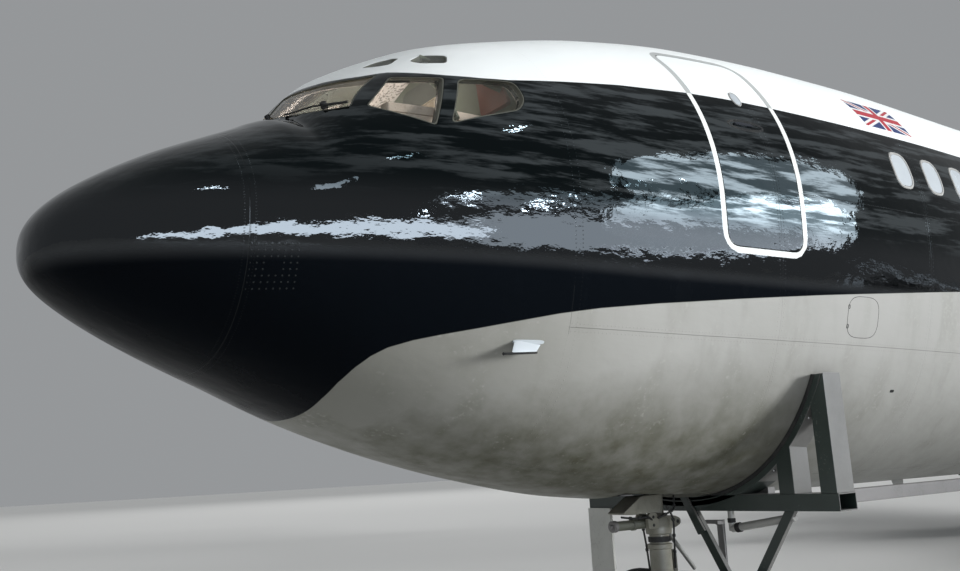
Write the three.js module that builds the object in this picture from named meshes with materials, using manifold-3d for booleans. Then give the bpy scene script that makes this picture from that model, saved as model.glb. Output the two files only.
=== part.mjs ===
// A four-engine narrow-body jet airliner of the early jet age: a 1:2 scale model on its landing gear,
// with the steel cradle that props its forward fuselage.
//
// Shapes are drawn in metres of the real aircraft: x aft from the tip of the nose, y to starboard from
// the plane of symmetry, z up from the centre of the fuselage's upper lobe. The last group turns those
// metres into the model's millimetres, with the ground at z = 0 and the middle of the length at x = 0.

import * as THREE from 'three';
import { mergeVertices } from 'three/addons/utils/BufferGeometryUtils.js';
import Module from 'manifold-3d';

const wasm = await Module();
wasm.setup();

// Driving dimensions, in metres of the real aircraft
const MODEL_MM_PER_METRE = 500;
const LENGTH = 46.61;
const SPAN = 43.41;
const FIN_TOP = 9.3;
const GROUND = -4.05;
const FIT_GAP = 0.0007;       // joint between two fixed pieces
const SWING_GAP = 0.012;      // running clearance round a piece that turns
const BORE_GAP = 0.0022;      // running clearance round an axle
const RING_SIDES = 32;

// Fuselage outline: crown, keel, half width and height of the widest point at each distance x
const FUSELAGE_COLUMNS = ['x', 'crown', 'keel', 'halfWidth', 'waist'];
const FUSELAGE = [
  [0, -0.6, -0.67, 0.035, -0.635],
  [0.12, -0.356, -0.883, 0.412, -0.62],
  [0.35, -0.17, -1.046, 0.626, -0.6],
  [0.7, 0.037, -1.232, 0.865, -0.56],
  [1.2, 0.268, -1.458, 1.118, -0.5],
  [1.3, 0.32, -1.503, 1.157, -0.488],
  [1.4, 0.356, -1.55, 1.194, -0.477],
  [1.5, 0.36, -1.597, 1.229, -0.465],
  [1.6, 0.503, -1.643, 1.261, -0.454],
  [1.7, 0.637, -1.688, 1.292, -0.443],
  [1.8, 0.74, -1.73, 1.32, -0.431],
  [1.95, 0.838, -1.789, 1.358, -0.414],
  [2.2, 0.977, -1.88, 1.416, -0.386],
  [2.6, 1.168, -2.009, 1.489, -0.34],
  [3.3, 1.395, -2.193, 1.569, -0.26],
  [4.2, 1.623, -2.358, 1.626, -0.17],
  [5.2, 1.776, -2.433, 1.72, -0.08],
  [6.4, 1.842, -2.455, 1.817, 0],
  [8, 1.885, -2.455, 1.869, 0],
  [28, 1.885, -2.455, 1.869, 0],
  [31, 1.88, -2.28, 1.8, 0.02],
  [34, 1.85, -1.75, 1.58, 0.1],
  [37, 1.76, -1.05, 1.24, 0.3],
  [40, 1.58, -0.38, 0.86, 0.56],
  [42.5, 1.33, 0.16, 0.5, 0.74],
  [44, 1.13, 0.5, 0.24, 0.82],
  [44.35, 1.04, 0.64, 0.14, 0.84],
];
const LOWER_LOBE_POWER = 2.25;

// Fuselage barrels: each runs from one production joint to the next through the listed stations
const BARRELS = [
  ['radome', 'navy', [0, 0.05, 0.15, 0.35, 0.7, 1.05]],
  ['cockpit_section', 'navy', [1.05, 1.3, 1.5, 1.6, 1.7, 1.8, 1.95, 2.2, 2.6, 3.16]],
  ['forward_fuselage', 'white', [3.16, 4.2, 5.2, 6.4, 8, 13.4]],
  ['centre_fuselage', 'white', [13.4, 25.9]],
  ['rear_fuselage', 'white', [25.9, 28, 29.5, 31, 34, 37]],
  ['tail_section', 'white', [37, 40, 42.5, 44, 44.35]],
];

// Cockpit: wall thickness, floor height and the cabin's two bulkheads
const COCKPIT = { wall: 0.08, floor: -0.43, front: 1.3, rear: 3.08, glass: 0.04 };

// Cockpit windows on the left side: the plane of the outline, its points, and the depth of the cut
const COCKPIT_WINDOWS = {
  windshield: { plane: 'yz', from: 1.2, to: 2.12,
    outline: [[-0.05, 0.44], [-0.4, 0.36], [-0.82, 0.258], [-0.965, 0.258], [-0.862, 0.585],
      [-0.69, 0.555], [-0.49, 0.58], [-0.05, 0.67]] },
  sliding_window: { plane: 'xz', from: -1.9, to: -0.7,
    outline: [[2.09, 0.568], [2.429, 0.568], [2.214, 0.108], [1.823, 0.253]] },
  side_window: { plane: 'xz', from: -1.9, to: -0.9,
    outline: [[2.513, 0.568], [2.312, 0.132], [2.533, 0.209], [2.866, 0.313], [2.947, 0.425],
      [2.934, 0.59], [2.781, 0.586]] },
};

// Outline of the small fin under the tail
const KEEL_FIN = [[40.4, 0.2], [42.6, 0.6], [42.75, -0.35], [42.1, -0.42]];

// Cabin doors: side, front edge, rear edge, sill and top
const DOOR_COLUMNS = ['name', 'side', 'front', 'rear', 'sill', 'top'];
const DOORS = [
  ['forward_passenger_door', -1, 4.6, 5.5, -0.545, 1.33],
  ['rear_passenger_door', -1, 32.2, 33.02, -0.5, 1.2],
  ['forward_service_door', 1, 5.0, 5.62, -0.5, 0.85],
  ['rear_service_door', 1, 31.2, 31.82, -0.5, 0.8],
];
const DOOR_THICKNESS = 0.12;

// Aerofoils: leading edge, trailing edge, height and thickness ratio at each distance along the span
const PANEL_COLUMNS = ['span', 'front', 'rear', 'rise', 'thickness'];
const WING = [
  [1.3, 14.41, 24.87, -1.69, 0.115],
  [7, 18.86, 25.4, -0.99, 0.1],
  [SPAN / 2, 30.33, 33.14, 0.815, 0.085],
];
const TAILPLANE = [
  [0.06, 39.25, 44.1, 0.74, 0.1],
  [6.975, 44.61, LENGTH, 1.59, 0.09],
];
const FIN = [
  [1.1, 35.2, 42.85, 0, 0.1],
  [FIN_TOP, 42, 44.75, 0, 0.09],
];
const AEROFOIL_STATIONS = [0.015, 0.06, 0.16, 0.32, 0.5, 0.68, 0.84];
const BLUNT_EDGE = 0.008;

// Control surfaces: span from and to, hinge line as a share of the chord, and how far the hinge hangs
const SURFACE_COLUMNS = ['name', 'from', 'to', 'hinge', 'drop'];
const WING_SURFACES = [
  ['inner_flap', 2.35, 6.3, 0.86, 0.42],
  ['inner_aileron', 7.2, 8.9, 0.78, 0],
  ['outer_flap', 9.25, 15.0, 0.75, 0.32],
  ['outer_aileron', 15.3, 20.4, 0.76, 0],
];
const ELEVATOR = ['elevator', 0.95, 6.5, 0.7, 0];
const RUDDER = ['rudder', 2.1, 8.55, 0.7, 0];
const NOSE_SHARE = 0.93;      // a surface is a little thinner than the panel that it fills
const HINGE = { pin: 0.05, lug: 0.05 };

// Engine pods: distance from the plane of symmetry, intake lip and centre height
const POD_COLUMNS = ['y', 'lip', 'centre'];
const PODS = [
  [8.26, 16.45, -2.02],
  [14.2, 21.1, -1.32],
];
// Pod outline from the intake floor round the lip to the exhaust: distance from the lip and radius
const POD_OUTLINE = [
  [1.05, 0], [1.05, 0.5], [0.25, 0.515], [0.04, 0.56], [0, 0.6], [0.06, 0.645], [0.5, 0.705],
  [1.6, 0.735], [3.1, 0.69], [4.6, 0.53], [5.3, 0.42], [5.3, 0.38], [4.5, 0.36], [4.5, 0],
];
const POD_SIDES = 20;
// Compressor rotor: distance from the lip and radius
const ROTOR_OUTLINE = [
  [0.42, 0], [0.5, 0.09], [0.68, 0.16], [0.72, 0.16], [0.72, 0.46], [0.86, 0.46], [0.86, 0.16],
  [1.05 - FIT_GAP, 0.16], [1.05 - FIT_GAP, 0],
];
const PYLON = { width: 0.26, startAft: 1.15, endAft: 4.1, wingReach: 2.4, crownLift: 0.02, root: 0.45 };

// Landing gear
const NOSE_GEAR = { x: 5.33, tyre: 0.495, tyreWidth: 0.28, track: 0.26, axle: 0.045 };
const NOSE_LEG = { radius: 0.1, piston: 0.07, split: -3.15, top: -1.5, cylinder: -2.645, lug: 0.27,
  linkReach: 0.4 };
// Rings round the nose leg: bottom, top and radius
const NOSE_LEG_RINGS = [[-3.12, -3.06, 0.106], [-2.87, -2.83, 0.112], [-2.735, -2.68, 0.118]];
const NOSE_WELL = { front: 4.55, rear: 5.62, halfWidth: 0.4, roof: -1.5 };
const MAIN_GEAR = { x: 23.31, y: 3.365, tyre: 0.585, tyreWidth: 0.39, track: 0.44, axle: 0.07,
  base: 0.71 };
const MAIN_LEG = { radius: 0.15, top: -1.2, beam: 0.1 };
const WHEEL_SIDES = 16;

// Cradle: stations of its two frames, their flat tube (depth along x, width of a post, height of the
// beam) and the places of posts and braces; the braces lie a little ahead of the tube's middle
const CRADLE = { stations: [5.814, 14], depth: 0.24, width: 0.15, height: 0.14, hole: 0.42,
  pad: 0.035, plate: 0.05, top: -1.46, post: 1.535, innerPost: 1.14, innerTop: -1.9,
  beam: -2.5, reach: 1.62, brace: 0.09, braceAhead: 0.05, meet: -3.4, foot: 0.03 };
const CRADLE_FEET = { knee: 0.55, y: 0.72, inner: 0.06, halfWidth: 0.25, halfLength: 0.2, bar: 0.09 };
const CRADLE_RAILS = { left: 1.555, right: 1.2, z: -2.46, size: 0.11 };
// The front frame's right half ends short, on one flat leg ahead of its beam
const CRADLE_BOARD = { beamEnd: 1.29, inner: 0.96, outer: 1.285, thickness: 0.03, top: -2.545 };
const CRADLE_TIE = { from: [-0.476, -2.725], to: [-1.141, -2.623], size: 0.07 };

// Finishes: colour, roughness, metalness and, for glass, opacity
const FINISHES = {
  navy: [0x0b1626, 0.25, 0],
  white: [0xe9edee, 0.3, 0],
  grey: [0xa9adad, 0.35, 0.1],
  aluminium: [0xb4b8ba, 0.35, 0.8],
  steel: [0x8f9690, 0.5, 0.4],
  cradle_paint: [0x5d6a66, 0.5, 0],
  rubber: [0x1b1b1c, 0.85, 0],
  glass: [0x9fb4b2, 0.05, 0, 0.35],
  rotor: [0x7c8084, 0.35, 0.9],
  interior: [0x6d6a5c, 0.7, 0],
  seat: [0x3a3f45, 0.9, 0],
};

const aircraft = new THREE.Group();
aircraft.scale.setScalar(MODEL_MM_PER_METRE);
aircraft.position.set(-LENGTH / 2 * MODEL_MM_PER_METRE, 0, -GROUND * MODEL_MM_PER_METRE);

const materials = {};
for (const [name, [color, roughness, metalness, opacity = 1]] of Object.entries(FINISHES)) {
  const look = { name, color, roughness, metalness, opacity, transparent: opacity < 1 };
  materials[name] = new THREE.MeshStandardMaterial(look);
}

const asRecord = (columns, row) => Object.fromEntries(columns.map((column, i) => [column, row[i]]));
const vec = (x, y, z) => new THREE.Vector3(x, y, z);
const sides = [[-1, 'left'], [1, 'right']];

// A solid from corners and triangles, with its faces turned outwards
function solidOf(points, triangles) {
  const corner = (i) => points[i];
  let volume = 0;
  for (const [a, b, c] of triangles) volume += corner(a).clone().cross(corner(b)).dot(corner(c));
  const outward = volume > 0 ? triangles : triangles.map(([a, b, c]) => [a, c, b]);
  return new wasm.Manifold(new wasm.Mesh({
    numProp: 3,
    vertProperties: new Float32Array(points.flatMap((p) => [p.x, p.y, p.z])),
    triVerts: new Uint32Array(outward.flat()),
  }));
}

// A solid from a three.js geometry
function solidFrom(geometry) {
  const bare = geometry.clone();
  for (const name of Object.keys(bare.attributes)) if (name !== 'position') bare.deleteAttribute(name);
  const merged = mergeVertices(bare, 1e-5);
  const p = merged.attributes.position;
  const points = Array.from({ length: p.count }, (_, i) => vec().fromBufferAttribute(p, i));
  const index = Array.from(merged.index.array);
  const triangles = [];
  for (let i = 0; i < index.length; i += 3) {
    const [a, b, c] = index.slice(i, i + 3);
    if (a !== b && b !== c && c !== a) triangles.push([a, b, c]);
  }
  return solidOf(points, triangles);
}

// A solid that joins rings of points, all with the same count, and closes both ends
function loft(rings) {
  const count = rings[0].length;
  const points = rings.flat();
  const triangles = [];
  for (let r = 0; r + 1 < rings.length; r++) {
    for (let k = 0; k < count; k++) {
      const a = r * count + k, b = r * count + (k + 1) % count;
      triangles.push([a, b, b + count], [a, b + count, a + count]);
    }
  }
  for (const [ring, flip] of [[0, true], [rings.length - 1, false]]) {
    const centre = rings[ring].reduce((sum, p) => sum.add(p), vec(0, 0, 0)).divideScalar(count);
    points.push(centre);
    for (let k = 0; k < count; k++) {
      const a = ring * count + k, b = ring * count + (k + 1) % count;
      triangles.push(flip ? [b, a, points.length - 1] : [a, b, points.length - 1]);
    }
  }
  return solidOf(points, triangles);
}

// A box between two corners
function block(x0, x1, y0, y1, z0, z1) {
  const geometry = new THREE.BoxGeometry(Math.abs(x1 - x0), Math.abs(y1 - y0), Math.abs(z1 - z0));
  return solidFrom(geometry.translate((x0 + x1) / 2, (y0 + y1) / 2, (z0 + z1) / 2));
}

// A square or round bar between two points
function bar(from, to, width, sideCount = 4) {
  const radius = sideCount === 4 ? width / Math.SQRT2 : width / 2;
  const geometry = new THREE.CylinderGeometry(radius, radius, from.distanceTo(to), sideCount);
  if (sideCount === 4) geometry.rotateY(Math.PI / 4);
  const turn = new THREE.Quaternion().setFromUnitVectors(vec(0, 1, 0), to.clone().sub(from).normalize());
  geometry.applyQuaternion(turn);
  const middle = from.clone().add(to).divideScalar(2);
  return solidFrom(geometry.translate(middle.x, middle.y, middle.z));
}

// An outline in one plane, given thickness along the axis that it lacks
function prism(outline, plane, from, to) {
  const shape = new THREE.Shape(outline.map(([u, v]) => new THREE.Vector2(u, v)));
  const geometry = new THREE.ExtrudeGeometry(shape, { depth: to - from, bevelEnabled: false });
  const turns = {
    yz: new THREE.Matrix4().set(0, 0, 1, from, 1, 0, 0, 0, 0, 1, 0, 0, 0, 0, 0, 1),
    xz: new THREE.Matrix4().set(1, 0, 0, 0, 0, 0, 1, from, 0, 1, 0, 0, 0, 0, 0, 1),
  };
  return solidFrom(geometry.applyMatrix4(turns[plane]));
}

// A turned piece about an axis along x or y, through the given centre
function turned(outline, centre, axis, sideCount) {
  const profile = outline.map(([along, radius]) => new THREE.Vector2(radius, along));
  const geometry = new THREE.LatheGeometry(profile, sideCount);
  if (axis === 'x') geometry.rotateZ(-Math.PI / 2);
  return solidFrom(geometry.translate(centre.x, centre.y, centre.z));
}

const joined = (pieces) => pieces.reduce((whole, piece) => whole.add(piece));

// A solid cut back by another, with the fixed joint's gap left all round
function clearOf(solid, other) {
  const g = 1.5 * FIT_GAP;
  const shifts = [[g, 0, 0], [-g, 0, 0], [0, g, 0], [0, -g, 0], [0, 0, g], [0, 0, -g]];
  return shifts.reduce((rest, shift) => rest.subtract(other.translate(shift)), solid);
}

// Adds one named piece
function addPart(name, solid, finish, parent = aircraft) {
  const { vertProperties, triVerts } = solid.getMesh();
  const geometry = new THREE.BufferGeometry();
  geometry.setAttribute('position', new THREE.BufferAttribute(vertProperties, 3));
  geometry.setIndex(new THREE.BufferAttribute(triVerts, 1));
  const flat = geometry.toNonIndexed();
  flat.computeVertexNormals();
  const mesh = new THREE.Mesh(flat, materials[finish]);
  mesh.name = name;
  parent.add(mesh);
  return mesh;
}

// Hangs pieces on a pivot, whose own y axis is the axis they turn about
function onPivot(point, axis, pieces, parent = aircraft) {
  const pivot = new THREE.Group();
  pivot.position.copy(point);
  pivot.quaternion.setFromUnitVectors(vec(0, 1, 0), axis.clone().normalize());
  aircraft.add(pivot);
  aircraft.updateMatrixWorld(true);
  for (const piece of pieces) pivot.attach(piece);
  if (parent !== aircraft) parent.attach(pivot);
  return pivot;
}

// Smooth value of a table column at x: a cubic that never overshoots its knots, in the root of x
function smoothColumn(table, column) {
  const u = table.map((row) => Math.sqrt(row[0]));
  const v = table.map((row) => row[column]);
  const step = u.slice(1).map((next, i) => next - u[i]);
  const slope = step.map((h, i) => (v[i + 1] - v[i]) / h);
  const tangent = v.map((_, i) => {
    if (i === 0) return slope[0];
    if (i === v.length - 1) return slope[i - 1];
    if (slope[i - 1] * slope[i] <= 0) return 0;
    const w1 = 2 * step[i] + step[i - 1], w2 = step[i] + 2 * step[i - 1];
    return (w1 + w2) / (w1 / slope[i - 1] + w2 / slope[i]);
  });
  return (x) => {
    const at = Math.sqrt(x);
    const i = Math.min(Math.max(u.findIndex((knot) => knot > at) - 1, 0), step.length - 1);
    const last = at >= u[u.length - 1] ? step.length - 1 : i;
    const t = Math.min((at - u[last]) / step[last], 1);
    const a = 2 * t ** 3 - 3 * t ** 2 + 1, b = t ** 3 - 2 * t ** 2 + t;
    return a * v[last] + b * step[last] * tangent[last] + (1 - a) * v[last + 1]
      + (t ** 3 - t ** 2) * step[last] * tangent[last + 1];
  };
}
const outline = Object.fromEntries(FUSELAGE_COLUMNS.slice(1).map(
  (name, i) => [name, smoothColumn(FUSELAGE, i + 1)]));

// Fuselage ring at x, moved inwards by an inset: half an ellipse above, a fuller lobe below
function fuselageRing(x, inset = 0, at = x) {
  const crown = outline.crown(x) - inset, keel = outline.keel(x) + inset;
  const width = Math.max(outline.halfWidth(x) - inset, 0.002), waist = outline.waist(x);
  return Array.from({ length: RING_SIDES }, (_, k) => {
    const angle = 2 * Math.PI * k / RING_SIDES;
    const c = Math.cos(angle), s = Math.sin(angle);
    if (c >= 0) return vec(at, width * s, waist + (crown - waist) * c);
    const power = 2 / LOWER_LOBE_POWER;
    const out = width * Math.sign(s) * Math.abs(s) ** power;
    return vec(at, out, waist - (waist - keel) * Math.abs(c) ** power);
  });
}

// Stretch of fuselage through the given stations, shortened by the joint at each end
function barrel(stations, inset = 0, trim = FIT_GAP / 2) {
  const last = stations.length - 1;
  const place = (x, i) => (i === 0 && x > 0 ? x + trim : i === last ? x - trim : x);
  return loft(stations.map((x, i) => fuselageRing(x, inset, place(x, i))));
}
const allStations = BARRELS.flatMap(([, , stations], i) => (i ? stations.slice(1) : stations));
const fullBody = (outset) => barrel(allStations, -outset, 0);
const cutter = fullBody(FIT_GAP);

// Cockpit section: a shell with its floor, its two bulkheads and its window openings
function cockpitParts(section, stations) {
  const cavity = barrel(stations, COCKPIT.wall, 0)
    .intersect(block(COCKPIT.front, COCKPIT.rear, -3, 3, COCKPIT.floor, 3));
  let shell = section.subtract(cavity);
  const glassCore = barrel(stations, COCKPIT.glass, 0);
  for (const [side, hand] of sides) {
    for (const [name, { plane, outline: points, from, to }] of Object.entries(COCKPIT_WINDOWS)) {
      const cut = windowPrism(points, plane, from, to, side, 0);
      const pane = windowPrism(points, plane, from, to, side, FIT_GAP)
        .intersect(section).subtract(glassCore);
      shell = shell.subtract(cut);
      addPart(`${name}_${hand}`, pane, 'glass');
    }
  }
  return shell;
}

// Window outline as a prism, drawn in by a margin and mirrored to the other side where needed
function windowPrism(points, plane, from, to, side, margin) {
  const weight = 1 / points.length;
  const middle = points.reduce(([u, v], p) => [u + p[0] * weight, v + p[1] * weight], [0, 0]);
  const size = Math.min(...points.map(([u, v]) => Math.hypot(u - middle[0], v - middle[1])));
  const share = 1 - 2.5 * margin / size;
  const drawn = points.map((p) => p.map((value, i) => middle[i] + (value - middle[i]) * share));
  if (side < 0) return prism(drawn, plane, from, to);
  if (plane === 'yz') return prism(drawn.map(([y, z]) => [-y, z]), plane, from, to);
  return prism(drawn, plane, -to, -from);
}

// Door let into the skin: returns the fuselage with its recess
function withDoor(body, stations, row) {
  const { name, side, front, rear, sill, top } = asRecord(DOOR_COLUMNS, row);
  const reach = side > 0 ? [0.4, 2.2] : [-2.2, -0.4];
  const opening = (g) => prism([[front + g, sill + g], [rear - g, sill + g], [rear - g, top - g],
    [front + g, top - g]], 'xz', ...reach);
  const leaf = opening(FIT_GAP).intersect(body).subtract(barrel(stations, DOOR_THICKNESS, 0));
  addPart(name, leaf, 'white');
  return body.subtract(opening(0).subtract(barrel(stations, DOOR_THICKNESS + FIT_GAP, 0)));
}

function addFuselage() {
  for (const [name, finish, stations] of BARRELS) {
    let body = barrel(stations);
    if (name === 'cockpit_section') body = cockpitParts(body, stations);
    for (const row of DOORS) {
      const { front } = asRecord(DOOR_COLUMNS, row);
      const here = front > stations[0] && front < stations[stations.length - 1];
      if (here) body = withDoor(body, stations, row);
    }
    if (name === 'forward_fuselage') {
      const w = NOSE_WELL;
      body = body.subtract(block(w.front, w.rear, -w.halfWidth, w.halfWidth, -3, w.roof));
    }
    if (name === 'tail_section') {
      body = body.add(prism(KEEL_FIN, 'xz', -0.05, 0.05));
    }
    addPart(name, body, finish);
  }
}

// Instrument panel with its glareshield, and the two seats, standing on the cockpit floor
function addCockpitInterior() {
  const floor = COCKPIT.floor + FIT_GAP;
  const panel = [[1.62, floor], [1.78, floor], [1.9, 0.13], [1.95, 0.22], [1.68, 0.22], [1.62, 0.1]];
  addPart('instrument_panel', prism(panel, 'xz', -0.85, 0.85), 'interior');
  for (const [side, hand] of sides) {
    const y = side * 0.56;
    const seat = joined([
      block(2.34, 2.56, y - 0.12, y + 0.12, floor, -0.05),
      block(2.2, 2.72, y - 0.26, y + 0.26, -0.06, 0.06),
      block(2.62, 2.74, y - 0.25, y + 0.25, 0, 0.66),
    ]);
    addPart(`pilot_seat_${hand}`, seat, 'seat');
  }
}

// A wing, tailplane or fin: sections between a leading and a trailing edge, linear along the span
class Panel {
  constructor(rows, place) {
    this.rows = rows.map((row) => asRecord(PANEL_COLUMNS, row));
    this.place = place;
  }

  // Planform values at a distance along the span
  at(span) {
    const { rows } = this;
    const i = Math.min(Math.max(rows.findIndex((row) => row.span >= span) - 1, 0), rows.length - 2);
    const t = (span - rows[i].span) / (rows[i + 1].span - rows[i].span);
    const blend = (key) => rows[i][key] + (rows[i + 1][key] - rows[i][key]) * t;
    return Object.fromEntries(PANEL_COLUMNS.map((key) => [key, blend(key)]));
  }

  // Half the thickness at a share of the chord
  half(share, { front, rear, thickness }) {
    const s = share;
    const shape = 0.2969 * Math.sqrt(s) - 0.126 * s - 0.3516 * s ** 2 + 0.2843 * s ** 3
      - 0.1036 * s ** 4;
    return 5 * shape * thickness * (rear - front) + BLUNT_EDGE * s;
  }

  ring(span) {
    const plan = this.at(span);
    const x = (s) => plan.front + (plan.rear - plan.front) * s;
    const face = (way) => [...AEROFOIL_STATIONS, 1].map(
      (s) => this.place(x(s), span, plan.rise + way * this.half(s, plan)));
    return [this.place(plan.front, span, plan.rise), ...face(1), ...face(-1).reverse()];
  }

  solid() {
    return loft(this.rows.map(({ span }) => this.ring(span)));
  }

  // Hinged surface: its solid, the room to cut for it, and its pivot
  surface(row) {
    const { from, to, hinge, drop } = asRecord(SURFACE_COLUMNS, row);
    const ends = [from, to].map((span) => {
      const plan = this.at(span);
      const x = plan.front + (plan.rear - plan.front) * hinge;
      return { point: this.place(x, span, plan.rise), radius: this.half(hinge, plan) * NOSE_SHARE };
    });
    const along = ends[1].point.clone().sub(ends[0].point).normalize();
    const aft = vec(1, 0, 0).addScaledVector(along, -along.x).normalize();
    const normal = along.clone().cross(aft);
    for (const end of ends) end.chord = this.reach(end.point, aft);
    const rings = ends.map(({ point, radius, chord }) => {
      const nose = Array.from({ length: 7 }, (_, i) => Math.PI / 2 + Math.PI * i / 6)
        .map((angle) => [radius * Math.cos(angle), radius * Math.sin(angle)]);
      return [...nose, [chord, -BLUNT_EDGE], [chord, BLUNT_EDGE]]
        .map(([p, n]) => point.clone().addScaledVector(aft, p).addScaledVector(normal, n));
    });
    const room = ends.map(({ point, radius, chord }, i) => {
      const start = point.clone().addScaledVector(along, (i ? 1 : -1) * SWING_GAP);
      return [[-radius - SWING_GAP, -1], [chord + 0.6, -1], [chord + 0.6, 1], [-radius - SWING_GAP, 1]]
        .map(([p, n]) => start.clone().addScaledVector(aft, p).addScaledVector(normal, n));
    });
    const down = normal.z < 0 ? 1 : -1;
    const hung = ends.map(({ point }) => point.clone().addScaledVector(normal, down * drop));
    const beyond = (i, distance) => (spot) => (
      spot.clone().addScaledVector(along, (i ? 1 : -1) * distance));
    const leaf = [loft(rings)], brackets = [];
    for (const i of [0, 1]) {
      const pin = [beyond(i, -HINGE.lug)(hung[i]), beyond(i, SWING_GAP - FIT_GAP)(hung[i])];
      leaf.push(bar(...pin, HINGE.pin, 8));
      if (drop === 0) continue;
      const lug = [ends[i].point, hung[i].clone().addScaledVector(normal, down * HINGE.lug / 2)];
      leaf.push(bar(...lug.map(beyond(i, -HINGE.lug / 2)), HINGE.lug, 8));
      brackets.push(bar(...lug.map(beyond(i, SWING_GAP + HINGE.lug / 2)), HINGE.lug, 8));
    }
    const axis = along.y < 0 ? along.clone().negate() : along;
    return { solid: joined(leaf), room: loft(room), brackets, point: hung[0], axis };
  }

  // Distance from a point along a direction to the trailing edge
  reach(point, direction) {
    let distance = 0;
    for (let i = 0; i < 8; i++) {
      const spot = point.clone().addScaledVector(direction, distance);
      distance += (this.at(this.spanOf(spot)).rear - spot.x) / direction.x;
    }
    return distance - BLUNT_EDGE;
  }

  spanOf(point) {
    const probe = this.place(0, 1, 0).sub(this.place(0, 0, 0));
    return point.dot(probe);
  }
}

// Adds a panel and its hinged surfaces
function addPanel(panel, name, suffix, surfaces, finish, neighbours = [], extra = (solid) => solid) {
  let solid = neighbours.reduce(clearOf, panel.solid().subtract(cutter));
  for (const row of surfaces) {
    const { solid: leaf, room, brackets, point, axis } = panel.surface(row);
    solid = joined([solid.subtract(room), ...brackets]);
    const piece = addPart(`${row[0]}${suffix}`, leaf, finish);
    onPivot(point, axis, [piece]);
  }
  addPart(`${name}${suffix}`, extra(solid), finish);
  return solid;
}

// Engine pod, its rotor and the pylon that carries it under the wing
function addEngine(row, side, wing, number) {
  const { y, lip, centre } = asRecord(POD_COLUMNS, row);
  const axis = vec(lip, side * y, centre);
  const pod = turned(POD_OUTLINE, axis, 'x', POD_SIDES);
  const rotor = addPart(`rotor_${number}`, turned(ROTOR_OUTLINE, axis, 'x', POD_SIDES), 'rotor');
  onPivot(axis, vec(1, 0, 0), [rotor]);
  const edge = wing.at(y);
  const [front, rear] = [lip + PYLON.startAft, lip + PYLON.endAft];
  const outline = [[front, centre + PYLON.root], [rear, centre + PYLON.root],
    [edge.front + PYLON.wingReach, edge.rise], [edge.front + 0.5, edge.rise],
    [edge.front - 0.12, edge.rise + PYLON.crownLift], [front + 0.5, centre + 0.9]];
  const strut = prism(outline, 'xz', side * y - PYLON.width / 2, side * y + PYLON.width / 2);
  addPart(`pylon_${number}`, clearOf(clearOf(strut, pod), wing.whole), 'grey');
  addPart(`nacelle_${number}`, pod, 'aluminium');
}

// Two tyres on their wheels and axle, turned as one piece about y
function wheelPair({ tyre, tyreWidth, track, axle }, centre) {
  const w = tyreWidth / 2, rim = tyre * 0.56;
  const half = [[0, axle], [track - w * 0.8, axle], [track - w * 0.8, rim], [track - w, rim],
    [track - w, tyre * 0.86], [track - w * 0.62, tyre], [track + w * 0.62, tyre],
    [track + w, tyre * 0.86], [track + w, rim], [track + w * 0.7, rim * 0.9], [track + w * 0.7, 0]];
  const mirrored = half.slice(1).map(([along, radius]) => [-along, radius]).reverse();
  return turned([...mirrored, ...half], centre, 'y', WHEEL_SIDES);
}

// Nose gear: fixed leg, steered lower strut, and a twin wheel
function addNoseGear() {
  const { x, tyre, axle } = NOSE_GEAR;
  const axleHeight = GROUND + tyre;
  const { radius, piston, split, top, cylinder, lug, linkReach } = NOSE_LEG;
  const leg = joined([
    bar(vec(x, 0, split + FIT_GAP), vec(x, 0, top - FIT_GAP), 2 * radius, 16),
    ...NOSE_LEG_RINGS.map(([low, high, size]) => bar(vec(x, 0, low), vec(x, 0, high), 2 * size, 16)),
    bar(vec(x, 0, cylinder), vec(x - 0.55, 0, cylinder), 0.075, 12),
    block(x - 0.2, x - 0.08, -0.08, 0.08, cylinder - 0.065, cylinder + 0.075),
    block(x, x + lug, -0.03, 0.03, cylinder - 0.04, cylinder + 0.05),
    bar(vec(x, 0, -2.2), vec(x - 0.6, 0, top - 0.05), 0.09, 8),
  ]);
  addPart('nose_leg', leg, 'steel');
  const hub = block(x - 0.1, x + 0.1, -0.1, 0.1, axleHeight - 0.1, axleHeight + 0.1);
  const hole = bar(vec(x, -1, axleHeight), vec(x, 1, axleHeight), 2 * (axle + BORE_GAP), 24);
  const elbow = vec(x + linkReach, 0, (axleHeight + split) / 2);
  const strut = joined([
    bar(vec(x, 0, axleHeight), vec(x, 0, split - FIT_GAP), 2 * piston, 16),
    hub,
    bar(vec(x, 0, split - 0.06), elbow, 0.06),
    bar(vec(x, 0, axleHeight), elbow, 0.06),
  ]).subtract(hole);
  const steered = addPart('nose_strut', strut, 'steel');
  const wheels = addPart('nose_wheels', wheelPair(NOSE_GEAR, vec(x, 0, axleHeight)), 'rubber');
  const steering = onPivot(vec(x, 0, axleHeight), vec(0, 0, 1), [steered]);
  onPivot(vec(x, 0, axleHeight), vec(0, 1, 0), [wheels], steering);
}

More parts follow.
